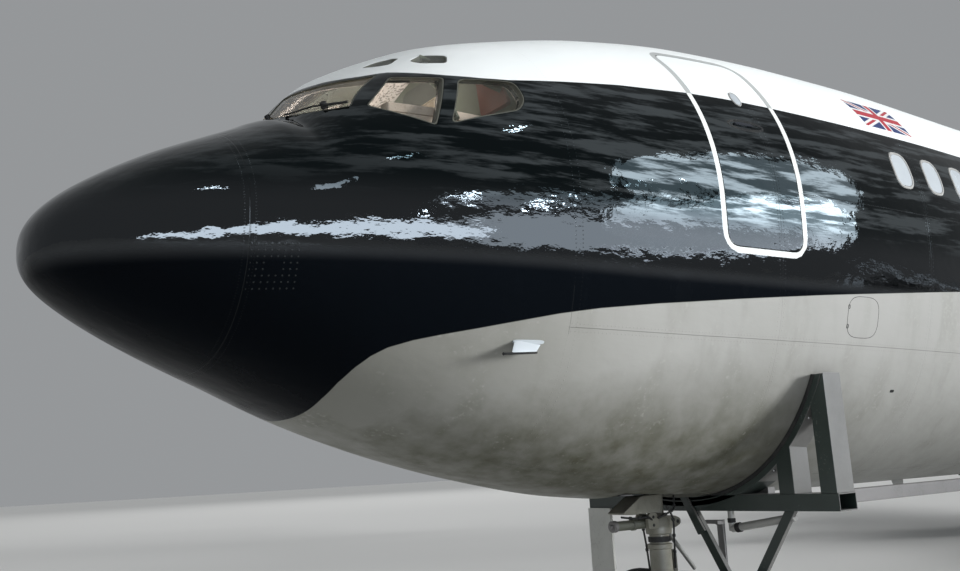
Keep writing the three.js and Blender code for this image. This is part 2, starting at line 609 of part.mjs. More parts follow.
// Main gear: a leg with its side brace and truck beam, and a twin wheel before and behind
function addMainGear(side, hand, wing) {
  const { x, y, tyre, axle, base } = MAIN_GEAR;
  const axleHeight = GROUND + tyre;
  const leg = vec(x, side * y, axleHeight);
  const spot = (dx, dy, z) => vec(x + dx, side * (y + dy), z);
  let solid = joined([
    bar(leg, spot(0, 0, MAIN_LEG.top), 2 * MAIN_LEG.radius, 16),
    bar(spot(-base, 0, axleHeight), spot(base, 0, axleHeight), 2 * MAIN_LEG.beam),
    bar(spot(0, 0, -2.5), spot(0, -1.75, -1.7), 0.14, 8),
    block(x - 0.13, x + 0.13, side * y - 0.17, side * y + 0.17, axleHeight - 0.14, axleHeight + 0.2),
    ...[x - base, x + base].map((at) => block(at - 0.12, at + 0.12, side * y - 0.12, side * y + 0.12,
      axleHeight - 0.13, axleHeight + 0.13)),
    block(x - 0.36, x + 0.3, side * (y + 0.17), side * (y + 0.2), -2.6, MAIN_LEG.top),
    block(x - 0.04, x + 0.04, side * (y + 0.1), side * (y + 0.18), -2.4, -2.3),
    block(x - 0.04, x + 0.04, side * (y + 0.1), side * (y + 0.18), -2.0, -1.9),
  ]);
  solid = clearOf(solid, wing.whole).subtract(cutter);
  const above = block(x - 2, x + 2, side * (y - 3), side * (y + 3), wing.at(y).rise, 1);
  solid = solid.subtract(above);
  for (const [place, where] of [[-1, 'front'], [1, 'rear']]) {
    const centre = spot(place * base, 0, axleHeight);
    solid = solid.subtract(bar(centre.clone().setY(side * y - 1), centre.clone().setY(side * y + 1),
      2 * (axle + BORE_GAP), 24));
    const wheels = addPart(`main_wheels_${where}_${hand}`, wheelPair(MAIN_GEAR, centre), 'rubber');
    onPivot(centre, vec(0, 1, 0), [wheels]);
  }
  addPart(`main_leg_${hand}`, solid, 'steel');
}

// Cradle: two frames under the belly joined by a rail on each side, with a rubber pad on each frame
function addCradle() {
  const { stations, depth, width, height, hole, pad, plate, top } = CRADLE;
  const { post, innerPost, innerTop, beam, brace, meet } = CRADLE;
  const feet = CRADLE_FEET;
  const [halfWidth, halfHeight] = [width / 2, height / 2];
  const frames = stations.map((station, i) => {
    const [x0, x1] = [station - depth / 2, station + depth / 2];
    const x = station - CRADLE.braceAhead;
    const slab = block(x0, x1, -2, 2, -3, top);
    const shell = (inner, outer) => fullBody(outer).subtract(fullBody(inner)).intersect(slab);
    addPart(`cradle_pad_${i ? 'rear' : 'front'}`, shell(FIT_GAP, pad), 'rubber');
    const reach = { left: CRADLE.reach, right: i ? CRADLE.reach : CRADLE_BOARD.beamEnd };
    const pieces = [shell(pad + FIT_GAP, pad + plate)];
    pieces.push(block(x0, x1, -reach.left, reach.right, beam - halfHeight, beam + halfHeight));
    const footPlate = (middle) => block(x - feet.halfLength, x + feet.halfLength,
      middle - feet.halfWidth, middle + feet.halfWidth, GROUND, GROUND + CRADLE.foot);
    const upright = (middle, upper) => block(x0, x1, middle - halfWidth, middle + halfWidth, beam, upper);
    const ends = [];
    for (const [side, hand] of sides) {
      ends.push(block(station - depth * hole, station + depth * hole, side * (reach[hand] - height),
        side * (reach[hand] + height), beam - height * hole, beam + height * hole));
      pieces.push(upright(side * innerPost, innerTop));
      if (reach[hand] < post) {
        const { inner, outer, thickness } = CRADLE_BOARD;
        pieces.push(block(x0 - thickness, x0, inner, outer, GROUND, CRADLE_BOARD.top));
        pieces.push(footPlate((inner + outer) / 2));
        continue;
      }
      const knee = vec(x, side * feet.knee, meet);
      const [start, end] = [CRADLE_TIE.from, CRADLE_TIE.to].map(([y, z]) => vec(x, -side * y, z));
      pieces.push(upright(side * post, top));
      pieces.push(bar(vec(x, side * innerPost, beam), knee, brace));
      pieces.push(bar(vec(x, side * feet.inner, beam), knee, brace));
      pieces.push(bar(knee, vec(x, side * feet.y, GROUND), feet.bar));
      pieces.push(bar(start, end, CRADLE_TIE.size, 12));
      pieces.push(bar(start, start.clone().setZ(beam), CRADLE_TIE.size, 12));
      pieces.push(footPlate(side * feet.y));
    }
    return joined(pieces).subtract(joined(ends)).subtract(fullBody(pad + FIT_GAP));
  });
  const { z, size } = CRADLE_RAILS;
  const rails = sides.map(([side, hand]) => block(stations[0], stations[1],
    side * (CRADLE_RAILS[hand] - size / 2), side * (CRADLE_RAILS[hand] + size / 2),
    z - size / 2, z + size / 2));
  const floorCut = block(0, 20, -4, 4, GROUND - 1, GROUND);
  addPart('cradle', joined([...frames, ...rails]).subtract(floorCut), 'cradle_paint');
}

addFuselage();
addCockpitInterior();

// Fairing under the wing's root: its section at each distance x and half width
const fairingSection = (w) => [[-w, -1.6], [-w, -2.2], [-w * 0.75, -2.5], [w * 0.75, -2.5],
  [w, -2.2], [w, -1.6]];
const fairingRing = ([x, w]) => fairingSection(w).map(([y, z]) => vec(x, y, z));
const bellyFairing = loft([[14.3, 0.25], [15.6, 1.3], [24.3, 1.3], [26.2, 0.3]].map(fairingRing));
addPart('belly_fairing', bellyFairing.subtract(cutter), 'grey');

for (const [side, hand] of sides) {
  const wing = new Panel(WING, (x, span, z) => vec(x, side * span, z));
  wing.whole = wing.solid();
  addPanel(wing, 'wing', `_${hand}`, WING_SURFACES, 'aluminium', [bellyFairing]);
  PODS.forEach((row, i) => addEngine(row, side, wing, side < 0 ? 2 - i : 3 + i));
  addMainGear(side, hand, wing);
  const tailplane = new Panel(TAILPLANE, (x, span, z) => vec(x, side * span, z));
  addPanel(tailplane, 'tailplane', `_${hand}`, [ELEVATOR], 'aluminium');
}

const probe = bar(vec(41.1, 0, 9.05), vec(42.6, 0, 9.05), 0.09, 8);
addPanel(new Panel(FIN, (x, span, y) => vec(x, y, span)), 'fin', '', [RUDDER], 'navy', [],
  (solid) => solid.add(probe));
addNoseGear();
addCradle();

export default aircraft;
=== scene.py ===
"""The finished surfaces of a four-engine narrow-body jet airliner, a 1:2 model on its gear and cradle.

Shapes are worked out in metres of the real aircraft: x aft from the tip of the nose, y to starboard from
the plane of symmetry, z up from the centre of the fuselage's upper lobe. to_model() halves them and sets
them in the model's frame.
"""
import math

import bmesh
import bpy
import numpy as np
from mathutils import Matrix, Vector


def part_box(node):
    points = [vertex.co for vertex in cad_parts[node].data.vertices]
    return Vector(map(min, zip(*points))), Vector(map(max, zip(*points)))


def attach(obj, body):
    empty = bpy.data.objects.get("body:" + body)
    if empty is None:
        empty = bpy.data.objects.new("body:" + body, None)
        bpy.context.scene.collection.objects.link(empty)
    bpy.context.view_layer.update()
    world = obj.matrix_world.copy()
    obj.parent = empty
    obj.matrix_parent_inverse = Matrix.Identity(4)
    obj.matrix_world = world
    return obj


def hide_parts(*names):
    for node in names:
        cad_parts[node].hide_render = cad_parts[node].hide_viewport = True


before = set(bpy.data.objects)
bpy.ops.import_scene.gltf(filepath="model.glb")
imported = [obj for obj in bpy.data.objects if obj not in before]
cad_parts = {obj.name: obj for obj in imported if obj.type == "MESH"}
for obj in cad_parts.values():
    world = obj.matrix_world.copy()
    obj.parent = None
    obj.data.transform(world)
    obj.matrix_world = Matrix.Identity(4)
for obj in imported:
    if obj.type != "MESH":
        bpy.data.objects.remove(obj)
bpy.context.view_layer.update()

# Frame of the real aircraft in the model
SCALE = 0.5
LOBE_HEIGHT = 4.05
NOSE = np.array([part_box("radome")[0].x, 0.0, LOBE_HEIGHT * SCALE])
LENGTH = 46.61
SPAN = 43.41
FIN_TOP = 9.3
GROUND = -LOBE_HEIGHT
SIDES = ((-1, "left"), (1, "right"))

# Skin joints behind the nose cone and the cockpit section, the distance between frames, and the lap joints:
# two heights, how fast the lower one falls going aft, and two distances round the body
NOSE_JOINT, COCKPIT_JOINT, FRAME_BAY = 1.05, 3.16, 2.032
LOWER_LAP, MIDDLE_LAP, LAP_FALL = -1.19, -0.02, 0.014
UPPER_LAP, KEEL_LAP = 0.9, 5.3
LOBE_RADIUS = 1.88

# Fuselage outline: distance from the nose, crown, keel, half width, height of the widest point
STATION, CROWN, KEEL, HALF, WAIST = np.array([
    (0, -0.6, -0.67, 0.035, -0.635),
    (0.12, -0.356, -0.883, 0.412, -0.62),
    (0.35, -0.17, -1.046, 0.626, -0.6),
    (0.7, 0.037, -1.232, 0.865, -0.56),
    (1.2, 0.268, -1.458, 1.118, -0.5),
    (1.3, 0.32, -1.503, 1.157, -0.488),
    (1.4, 0.356, -1.55, 1.194, -0.477),
    (1.5, 0.36, -1.597, 1.229, -0.465),
    (1.6, 0.503, -1.643, 1.261, -0.454),
    (1.7, 0.637, -1.688, 1.292, -0.443),
    (1.8, 0.74, -1.73, 1.32, -0.431),
    (1.95, 0.838, -1.789, 1.358, -0.414),
    (2.2, 0.977, -1.88, 1.416, -0.386),
    (2.6, 1.168, -2.009, 1.489, -0.34),
    (3.3, 1.395, -2.193, 1.569, -0.26),
    (4.2, 1.623, -2.358, 1.626, -0.17),
    (5.2, 1.776, -2.433, 1.72, -0.08),
    (6.4, 1.842, -2.455, 1.817, 0),
    (8, 1.885, -2.455, 1.869, 0),
    (28, 1.885, -2.455, 1.869, 0),
    (31, 1.88, -2.28, 1.8, 0.02),
    (34, 1.85, -1.75, 1.58, 0.1),
    (37, 1.76, -1.05, 1.24, 0.3),
    (40, 1.58, -0.38, 0.86, 0.56),
    (42.5, 1.33, 0.16, 0.5, 0.74),
    (44, 1.13, 0.5, 0.24, 0.82),
    (44.35, 1.04, 0.64, 0.14, 0.84),
], float).T
LOWER_POWER = 2.25


def smooth_curve(knots, values, at):
    """A cubic through the knots that never overshoots: each knot's slope is the weighted harmonic mean of
    the slopes on both sides, and nothing where those have opposite signs."""
    step = np.diff(knots)
    slope = np.diff(values) / step
    tangent = np.concatenate([slope[:1], np.zeros(len(knots) - 2), slope[-1:]])
    w1, w2 = 2 * step[1:] + step[:-1], step[1:] + 2 * step[:-1]
    same = slope[1:] * slope[:-1] > 0
    safe = np.where(same, slope[:-1], 1), np.where(same, slope[1:], 1)
    tangent[1:-1] = np.where(same, (w1 + w2) / (w1 / safe[0] + w2 / safe[1]), 0)
    i = np.clip(np.searchsorted(knots, at, side="right") - 1, 0, len(step) - 1)
    t = np.clip((at - knots[i]) / step[i], 0, 1)
    a, b = 2 * t**3 - 3 * t**2 + 1, t**3 - 2 * t**2 + t
    return (a * values[i] + b * step[i] * tangent[i] + (1 - a) * values[i + 1]
            + (t**3 - t**2) * step[i] * tangent[i + 1])


def outline(x):
    """Crown, keel, half width and waist at each x, as smooth curves of the root of x."""
    root = np.sqrt(np.clip(x, 0, STATION[-1]))
    return [smooth_curve(np.sqrt(STATION), column, root) for column in (CROWN, KEEL, HALF, WAIST)]


def skin(x, angle, inset=0.0):
    """Fuselage surface: above the waist y and z follow an ellipse of the half width and the crown, below it
    a superellipse of the keel, both drawn in by an inset; the angle starts at the crown."""
    x, angle = np.broadcast_arrays(np.asarray(x, float), np.asarray(angle, float))
    crown, keel, half, waist = outline(x)
    c, s = np.cos(angle), np.sin(angle)
    power = 2 / LOWER_POWER
    half = np.maximum(half - inset, 0.002)
    y = np.where(c >= 0, half * s, half * np.sign(s) * np.abs(s) ** power)
    z = np.where(c >= 0, waist + (crown - inset - waist) * c,
                 waist - (waist - keel - inset) * np.abs(c) ** power)
    return np.stack([x, y, z], -1)


def flank(x, z, side, out=0.0):
    """Point of the fuselage's side at a distance x and a height z, stood off along the skin's normal."""
    x, z = np.broadcast_arrays(np.asarray(x, float), np.asarray(z, float))

    def width(x, z):
        crown, keel, half, waist = outline(x)
        up = np.clip((z - waist) / (crown - waist), 0, 1)
        down = np.clip((waist - z) / (waist - keel), 0, 1)
        return half * np.where(z >= waist, np.sqrt(1 - up**2), (1 - down**LOWER_POWER) ** (1 / LOWER_POWER))

    h = 1e-3
    y = width(x, z)
    normal = np.stack([-(width(x + h, z) - width(x - h, z)) / (2 * h), np.ones_like(y),
                       -(width(x, z + h) - width(x, z - h)) / (2 * h)], -1)
    normal /= np.linalg.norm(normal, axis=-1, keepdims=True)
    return (np.stack([x, y, z], -1) + out * normal) * np.array([1, side, 1])


def to_model(points):
    """Real metres from the nose tip to the model's frame."""
    return np.asarray(points, float) * SCALE + NOSE


# Paths and meshes

def full_turn(count):
    """Angles spread evenly round a full turn."""
    return np.linspace(0, 2 * np.pi, count, endpoint=False)


def squared(values, power):
    """Each value's size raised to a power, with its sign kept."""
    return np.sign(values) * np.abs(values) ** power


def walked_along(points):
    """How far along the line through the points each of them lies."""
    return np.concatenate([[0], np.cumsum(np.linalg.norm(np.diff(points, axis=0), axis=1))])


def even_steps(points, count):
    """Points spread evenly along the line through the given ones."""
    walked = walked_along(points)
    at = np.linspace(0, walked[-1], count)
    return np.stack([np.interp(at, walked, column) for column in points.T], -1)


def eased(points, count=24):
    """A smooth path through a few points, by the same cubic as the fuselage's lines."""
    points = np.asarray(points, float)
    walked = walked_along(points)
    at = np.linspace(0, walked[-1], count)
    return np.stack([smooth_curve(walked, column, at) for column in points.T], -1)


def make_mesh(name, points, faces, smooth=35.0):
    """A mesh in the model's frame from points in real metres, with its normals turned outwards."""
    mesh = bpy.data.meshes.new(name)
    mesh.from_pydata(to_model(points).tolist(), [], [tuple(map(int, f)) for f in faces])
    finish_mesh(mesh, smooth)
    return mesh


def finish_mesh(mesh, smooth=35.0):
    """Merges doubles, turns the faces outwards and marks the edges that stay sharp."""
    work = bmesh.new()
    work.from_mesh(mesh)
    bmesh.ops.remove_doubles(work, verts=work.verts, dist=1e-6)
    bmesh.ops.recalc_face_normals(work, faces=work.faces)
    work.to_mesh(mesh)
    work.free()
    mesh.shade_smooth()
    mesh.set_sharp_from_angle(angle=math.radians(smooth))


def grid_faces(rows, columns, close_rows=False, close_columns=False):
    """Faces of a grid of points, row after row, closed round either way where asked."""
    r = np.arange(rows if close_rows else rows - 1)
    c = np.arange(columns if close_columns else columns - 1)
    r, c = np.meshgrid(r, c, indexing="ij")
    r2, c2 = (r + 1) % rows, (c + 1) % columns
    quads = np.stack([r * columns + c, r * columns + c2, r2 * columns + c2, r2 * columns + c], -1)
    return quads.reshape(-1, 4).tolist()


def tube_of(rings):
    """Points and faces of a surface through rings of points, each closed round, with flat ends."""
    rings = np.asarray(rings, float)
    count, around = rings.shape[:2]
    faces = grid_faces(count, around, close_columns=True)
    faces += [list(range(around)), list(range((count - 1) * around, count * around))]
    return rings.reshape(-1, 3), faces


def merge(*parts):
    """Several sets of points and faces as one."""
    points, faces, base = [], [], 0
    for p, f in parts:
        p = np.asarray(p, float).reshape(-1, 3)
        points.append(p)
        faces += [[i + base for i in face] for face in f]
        base += len(p)
    return np.concatenate(points), faces


def basis(direction):
    """Two unit vectors square to a direction and to each other."""
    d = np.asarray(direction, float) / np.linalg.norm(direction)
    helper = np.array([0, 0, 1.0]) if abs(d[2]) < 0.9 else np.array([1.0, 0, 0])
    u = np.cross(helper, d)
    u /= np.linalg.norm(u)
    return d, u, np.cross(d, u)


def turned(profile, start, direction, around=32):
    """A turned piece: the radius of each profile point is carried round the axis."""
    d, u, v = basis(direction)
    angle = full_turn(around)
    ring = np.cos(angle)[:, None] * u + np.sin(angle)[:, None] * v
    profile = np.asarray(profile, float)
    points = (np.asarray(start, float) + profile[:, 0, None, None] * d
              + np.maximum(profile[:, 1], 1e-4)[:, None, None] * ring)
    return tube_of(points)


def rod(a, b, radius, around=20, bevel=0.004):
    """A round bar with softened ends from a to b."""
    a, b = np.asarray(a, float), np.asarray(b, float)
    length = np.linalg.norm(b - a)
    e = min(bevel, radius * 0.4, length * 0.4)
    profile = [(0, radius - e), (e, radius), (length - e, radius), (length, radius - e)]
    return turned(profile, a, b - a, around)


def swept(path, radius, around=10):
    """A round section carried along a path of points; the section turns with the path's tangent."""
    path = np.asarray(path, float)
    tangent = np.gradient(path, axis=0)
    tangent /= np.linalg.norm(tangent, axis=1, keepdims=True)
    helper = np.array([0.13, 0.21, 1.0])
    u = np.cross(helper, tangent)
    u /= np.linalg.norm(u, axis=1, keepdims=True)
    v = np.cross(tangent, u)
    angle = full_turn(around)
    rings = path[:, None] + radius * (np.cos(angle)[None, :, None] * u[:, None]
                                      + np.sin(angle)[None, :, None] * v[:, None])
    return tube_of(rings)


def box(low, high):
    """A plain block's corners and faces; a Bevel modifier rounds it."""
    (x0, y0, z0), (x1, y1, z1) = low, high
    points = [(x, y, z) for x in (x0, x1) for y in (y0, y1) for z in (z0, z1)]
    return points, [(0, 1, 3, 2), (4, 6, 7, 5), (0, 4, 5, 1), (2, 3, 7, 6), (0, 2, 6, 4), (1, 5, 7, 3)]


def beam(a, b, width, depth, up=(0, 0, 1)):
    """A square bar from a to b, as wide across as stated and as deep along up."""
    a, b = np.asarray(a, float), np.asarray(b, float)
    d = (b - a) / np.linalg.norm(b - a)
    u = np.cross(up, d)
    u /= np.linalg.norm(u)
    v = np.cross(d, u)
    corners = [(-1, -1), (1, -1), (1, 1), (-1, 1)]
    rings = [[p + u * width / 2 * s + v * depth / 2 * t for s, t in corners] for p in (a, b)]
    return tube_of(rings)


def rounded(points, radius, steps=6):
    """An outline with each corner turned on a quadratic curve that starts a radius before it."""
    points = np.asarray(points, float)
    out = []
    for before, corner, after in zip(np.roll(points, 1, 0), points, np.roll(points, -1, 0)):
        a, b = before - corner, after - corner
        r = min(radius, np.linalg.norm(a) * 0.45, np.linalg.norm(b) * 0.45)
        a, b = corner + a / np.linalg.norm(a) * r, corner + b / np.linalg.norm(b) * r
        t = np.linspace(0, 1, steps)[:, None]
        out.append((1 - t) ** 2 * a + 2 * t * (1 - t) * corner + t**2 * b)
    return np.concatenate(out)


def grown(points, margin):
    """An outline moved outwards by a margin: each corner goes to where its two moved edges meet."""
    points = np.asarray(points, float)
    edge = np.roll(points, -1, 0) - points
    edge /= np.maximum(np.linalg.norm(edge, axis=1, keepdims=True), 1e-9)
    normal = np.stack([edge[:, 1], -edge[:, 0]], -1)
    before = np.roll(normal, 1, 0)
    area = np.sum(points[:, 0] * np.roll(points[:, 1], -1) - points[:, 1] * np.roll(points[:, 0], -1))
    share = 1 + np.sum(normal * before, 1, keepdims=True)
    return points + (normal + before) / np.maximum(share, 0.4) * margin * np.sign(area)


def prism(points, plane, near, far):
    """An outline in one plane, carried straight along the axis that it lacks."""
    points = np.asarray(points, float)
    u, v = points[:, 0], points[:, 1]
    order = {"xz": lambda w: (u, w, v), "yz": lambda w: (w, u, v), "xy": lambda w: (u, v, w)}[plane]
    rings = [np.stack(order(np.full(len(u), w)), -1) for w in (near, far)]
    return tube_of(rings)


def place(name, shape, finish, body="airframe", replaces=(), slot=None, smooth=35.0, bevel=0.0):
    """Adds a piece of the aircraft, one shape or a list of them, riding on a body."""
    points, faces = merge(*shape) if isinstance(shape, list) else shape
    return place_mesh(name, make_mesh(name, points, faces, smooth), finish, body, replaces, bevel)


def place_mesh(name, mesh, finish, body="airframe", replaces=(), bevel=0.0):
    """Adds a finished mesh, says which body it rides and what it replaces."""
    obj = bpy.data.objects.new(name, mesh)
    bpy.context.scene.collection.objects.link(obj)
    mesh.materials.clear()
    mesh.materials.append(finish.material)
    if bevel:
        modifier = obj.modifiers.new("edges", "BEVEL")
        modifier.width = bevel * SCALE
        modifier.segments = 2
        modifier.limit_method = "ANGLE"
        modifier.harden_normals = True
    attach(obj, body)
    if replaces:
        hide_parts(*replaces)
    return obj


def carve(mesh, cutters, operation="DIFFERENCE", smooth=35.0):
    """The mesh with each cutter taken away, or kept where both are, as a new mesh."""
    obj = bpy.data.objects.new("carving", mesh)
    bpy.context.scene.collection.objects.link(obj)
    tools = []
    for points, faces in cutters:
        tool = bpy.data.objects.new("cutter", make_mesh("cutter", points, faces))
        bpy.context.scene.collection.objects.link(tool)
        modifier = obj.modifiers.new("cut", "BOOLEAN")
        modifier.operation = operation
        modifier.solver = "MANIFOLD"
        modifier.object = tool
        tools.append(tool)
    bpy.context.view_layer.update()
    result = bpy.data.meshes.new_from_object(obj.evaluated_get(bpy.context.evaluated_depsgraph_get()))
    for used in [obj, *tools]:
        bpy.data.objects.remove(used)
    finish_mesh(result, smooth)
    return result


def real_points(mesh):
    """A mesh's points in real metres from the nose tip."""
    flat = np.zeros(len(mesh.vertices) * 3)
    mesh.vertices.foreach_get("co", flat)
    return (flat.reshape(-1, 3) - NOSE) / SCALE


def mark(mesh, name, values):
    """Stores one value for each point of a mesh, for its material to read."""
    layer = mesh.attributes.new(name, "FLOAT", "POINT")
    layer.data.foreach_set("value", np.asarray(values, np.float32))


# Materials

class Value:
    """A socket in a material; arithmetic on it adds Math nodes."""

    def __init__(self, finish, socket):
        self.finish, self.socket = finish, socket

    def math(self, operation, *others):
        """One Math node on this value and the others."""
        inputs = {i: value for i, value in enumerate((self, *others))}
        return self.finish.node("ShaderNodeMath", {"operation": operation}, inputs)[0]

    def __add__(self, other): return self.math("ADD", other)
    def __sub__(self, other): return self.math("SUBTRACT", other)
    def __mul__(self, other): return self.math("MULTIPLY", other)
    def __truediv__(self, other): return self.math("DIVIDE", other)
    def __abs__(self): return self.math("ABSOLUTE")
    __radd__, __rmul__ = __add__, __mul__

    def __rsub__(self, other):
        return self.finish.node("ShaderNodeMath", {"operation": "SUBTRACT"}, {0: other, 1: self})[0]

    def min(self, other): return self.math("MINIMUM", other)
    def max(self, other): return self.math("MAXIMUM", other)
    def fract(self): return self.math("FRACT")
    def sine(self): return self.math("SINE")

    def step(self, low, high):
        """0 below low, 1 above high, and a smooth rise between."""
        return self.finish.node("ShaderNodeMapRange", {"interpolation_type": "SMOOTHSTEP"},
                                {"Value": self, "From Min": low, "From Max": high})["Result"]


class Finish:
    """A material on a Principled shader. Constants go on its sockets, and what varies is linked."""

    def __init__(self, name, slot, **constants):
        self.slot = slot
        self.material = bpy.data.materials.new(name)
        self.material.use_nodes = True
        self.tree = self.material.node_tree
        self.shader = next(n for n in self.tree.nodes if n.type == "BSDF_PRINCIPLED")
        for key, value in constants.items():
            self.shader.inputs[key.replace("_", " ").title().replace("Ior", "IOR")].default_value = (
                (*value, 1) if isinstance(value, tuple) else value)

    def node(self, kind, settings=None, inputs=None):
        """Adds a node, applies its settings and fills its sockets; outputs are found by name or number."""
        node = self.tree.nodes.new(kind)
        for key, value in (settings or {}).items():
            setattr(node, key, value)
        for key, value in (inputs or {}).items():
            if isinstance(value, Value):
                self.tree.links.new(value.socket, node.inputs[key])
            else:
                node.inputs[key].default_value = (*value, 1) if (
                    isinstance(value, tuple) and len(value) == 3
                    and len(node.inputs[key].default_value) == 4) else value
        return Outputs(self, node)

    def place(self):
        """Where the surface is, in real metres from the nose tip."""
        coordinates = self.node("ShaderNodeTexCoord")["Object"]
        return self.node("ShaderNodeMapping", {}, {
            "Vector": coordinates, "Scale": (1 / SCALE,) * 3, "Location": tuple(-NOSE / SCALE)})["Vector"]

    def position(self):
        """That place as a whole, and its x, y and z."""
        place = self.place()
        split = self.node("ShaderNodeSeparateXYZ", {}, {"Vector": place})
        return place, split["X"], split["Y"], split["Z"]

    def attribute(self, name):
        """The value that mark() stored under a name."""
        return self.node("ShaderNodeAttribute", {"attribute_name": name})["Fac"]

    def noise(self, vector, scale, detail=3.0, roughness=0.55, stretch=None):
        """Noise between 0 and 1, in space that may be stretched along each axis."""
        if stretch:
            vector = self.node("ShaderNodeMapping", {}, {"Vector": vector, "Scale": stretch})["Vector"]
        return self.node("ShaderNodeTexNoise", {}, {
            "Vector": vector, "Scale": scale, "Detail": detail, "Roughness": roughness})["Fac"]

    def mix(self, factor, a, b):
        """Colour a where the factor is 0 and b where it is 1."""
        return self.node("ShaderNodeMix", {"data_type": "RGBA"}, {0: factor, 6: a, 7: b})[2]

    def link(self, socket, value):
        """Feeds a socket of the shader."""
        self.tree.links.new(value.socket, self.shader.inputs[socket])

    def bump(self, *layers):
        """Chains height layers, each (height, distance in real metres, strength), into the normal."""
        normal = None
        for height, distance, strength in layers:
            inputs = {"Height": height, "Distance": distance * SCALE, "Strength": strength}
            if normal:
                inputs["Normal"] = normal
            normal = self.node("ShaderNodeBump", {}, inputs)["Normal"]
        self.link("Normal", normal)


class Outputs:
    """A node's outputs, by name or number."""

    def __init__(self, finish, node):
        self.finish, self.node = finish, node

    def __getitem__(self, key):
        return Value(self.finish, self.node.outputs[key])


NAVY = (0.0022, 0.0034, 0.0052)
WHITE = (0.84, 0.88, 0.885)
GREY = (0.41, 0.412, 0.40)
STRIPE_GREY = (0.42, 0.44, 0.44)
SEAM_SHADE = (0.03, 0.032, 0.032)
RIVET_PITCH, RIVET_RADIUS = 0.034, 0.0055
# The doubler's middle, its half sizes and its rivets' pitch
DOUBLER = ((1.2, -0.86), (0.135, 0.14), 0.036)


def seam(distance, half=0.0035):
    """1 on a joint line and 0 a little beyond its half width."""
    return 1 - distance.step(half * 0.5, half)


def rivet_dots(across, along):
    """A round head wherever both the distance across a row and the place along its pitch are small."""
    u = ((along / RIVET_PITCH).fract() - 0.5) * RIVET_PITCH
    away = (u * u + across * across).math("SQRT")
    return 1 - away.step(RIVET_RADIUS * 0.5, RIVET_RADIUS)


def skin_joints(x, z, around):
    """Joints round the body at the frames, lap joints along it, and the rivet rows beside them."""
    behind = x.step(COCKPIT_JOINT - 0.02, COCKPIT_JOINT + 0.02)
    bays = abs((x / FRAME_BAY - 0.07).fract() - 0.5) * FRAME_BAY
    lower = abs(z - LOWER_LAP + (x - COCKPIT_JOINT).max(0).min(5) * LAP_FALL)
    middle = abs(z - MIDDLE_LAP)
    upper = abs(around - UPPER_LAP)
    keel = abs(around - KEEL_LAP)
    butt = abs(x - COCKPIT_JOINT)
    radome = abs(x - NOSE_JOINT)
    below = 1 - z.step(-0.93, -0.9)
    laps = lower.min(keel).min(middle + (1 - x.step(5.4, 5.5)) * 9)
    line = (seam(laps) * behind).max(seam(bays, 0.003) * x.step(3.4, 3.45) * 0.4)
    line = line.max(seam(butt, 0.003) * below * z.step(-1.25, -1.22)).max(seam(upper, 0.003) * behind * 0.5)
    line = line.max(seam(radome, 0.004))
    rows = rivet_dots(abs(bays - 0.03), around).max(rivet_dots(abs(lower - 0.025), x))
    rows = rows.max(rivet_dots(abs(upper - 0.03), x)).max(rivet_dots(abs(keel - 0.03), x)) * behind
    rows = rows.max(rivet_dots(abs(radome - 0.03), around))
    return line, rows


def doubler_rivets_and_glints(x, z):
    """Three rows of rivets just inside a rectangle's edge, behind the nose cone's joint."""
    (middle_x, middle_z), (half_x, half_z), pitch = DOUBLER
    edge = (abs(x - middle_x) - half_x).max(abs(z - middle_z) - half_z)
    border = edge.step(-0.1, -0.095) * (1 - edge.step(0.0, 0.005))
    a, b = ((x / pitch).fract() - 0.5) * pitch, ((z / pitch).fract() - 0.5) * pitch
    return (1 - (a * a + b * b).math("SQRT").step(0.003, 0.007)) * border


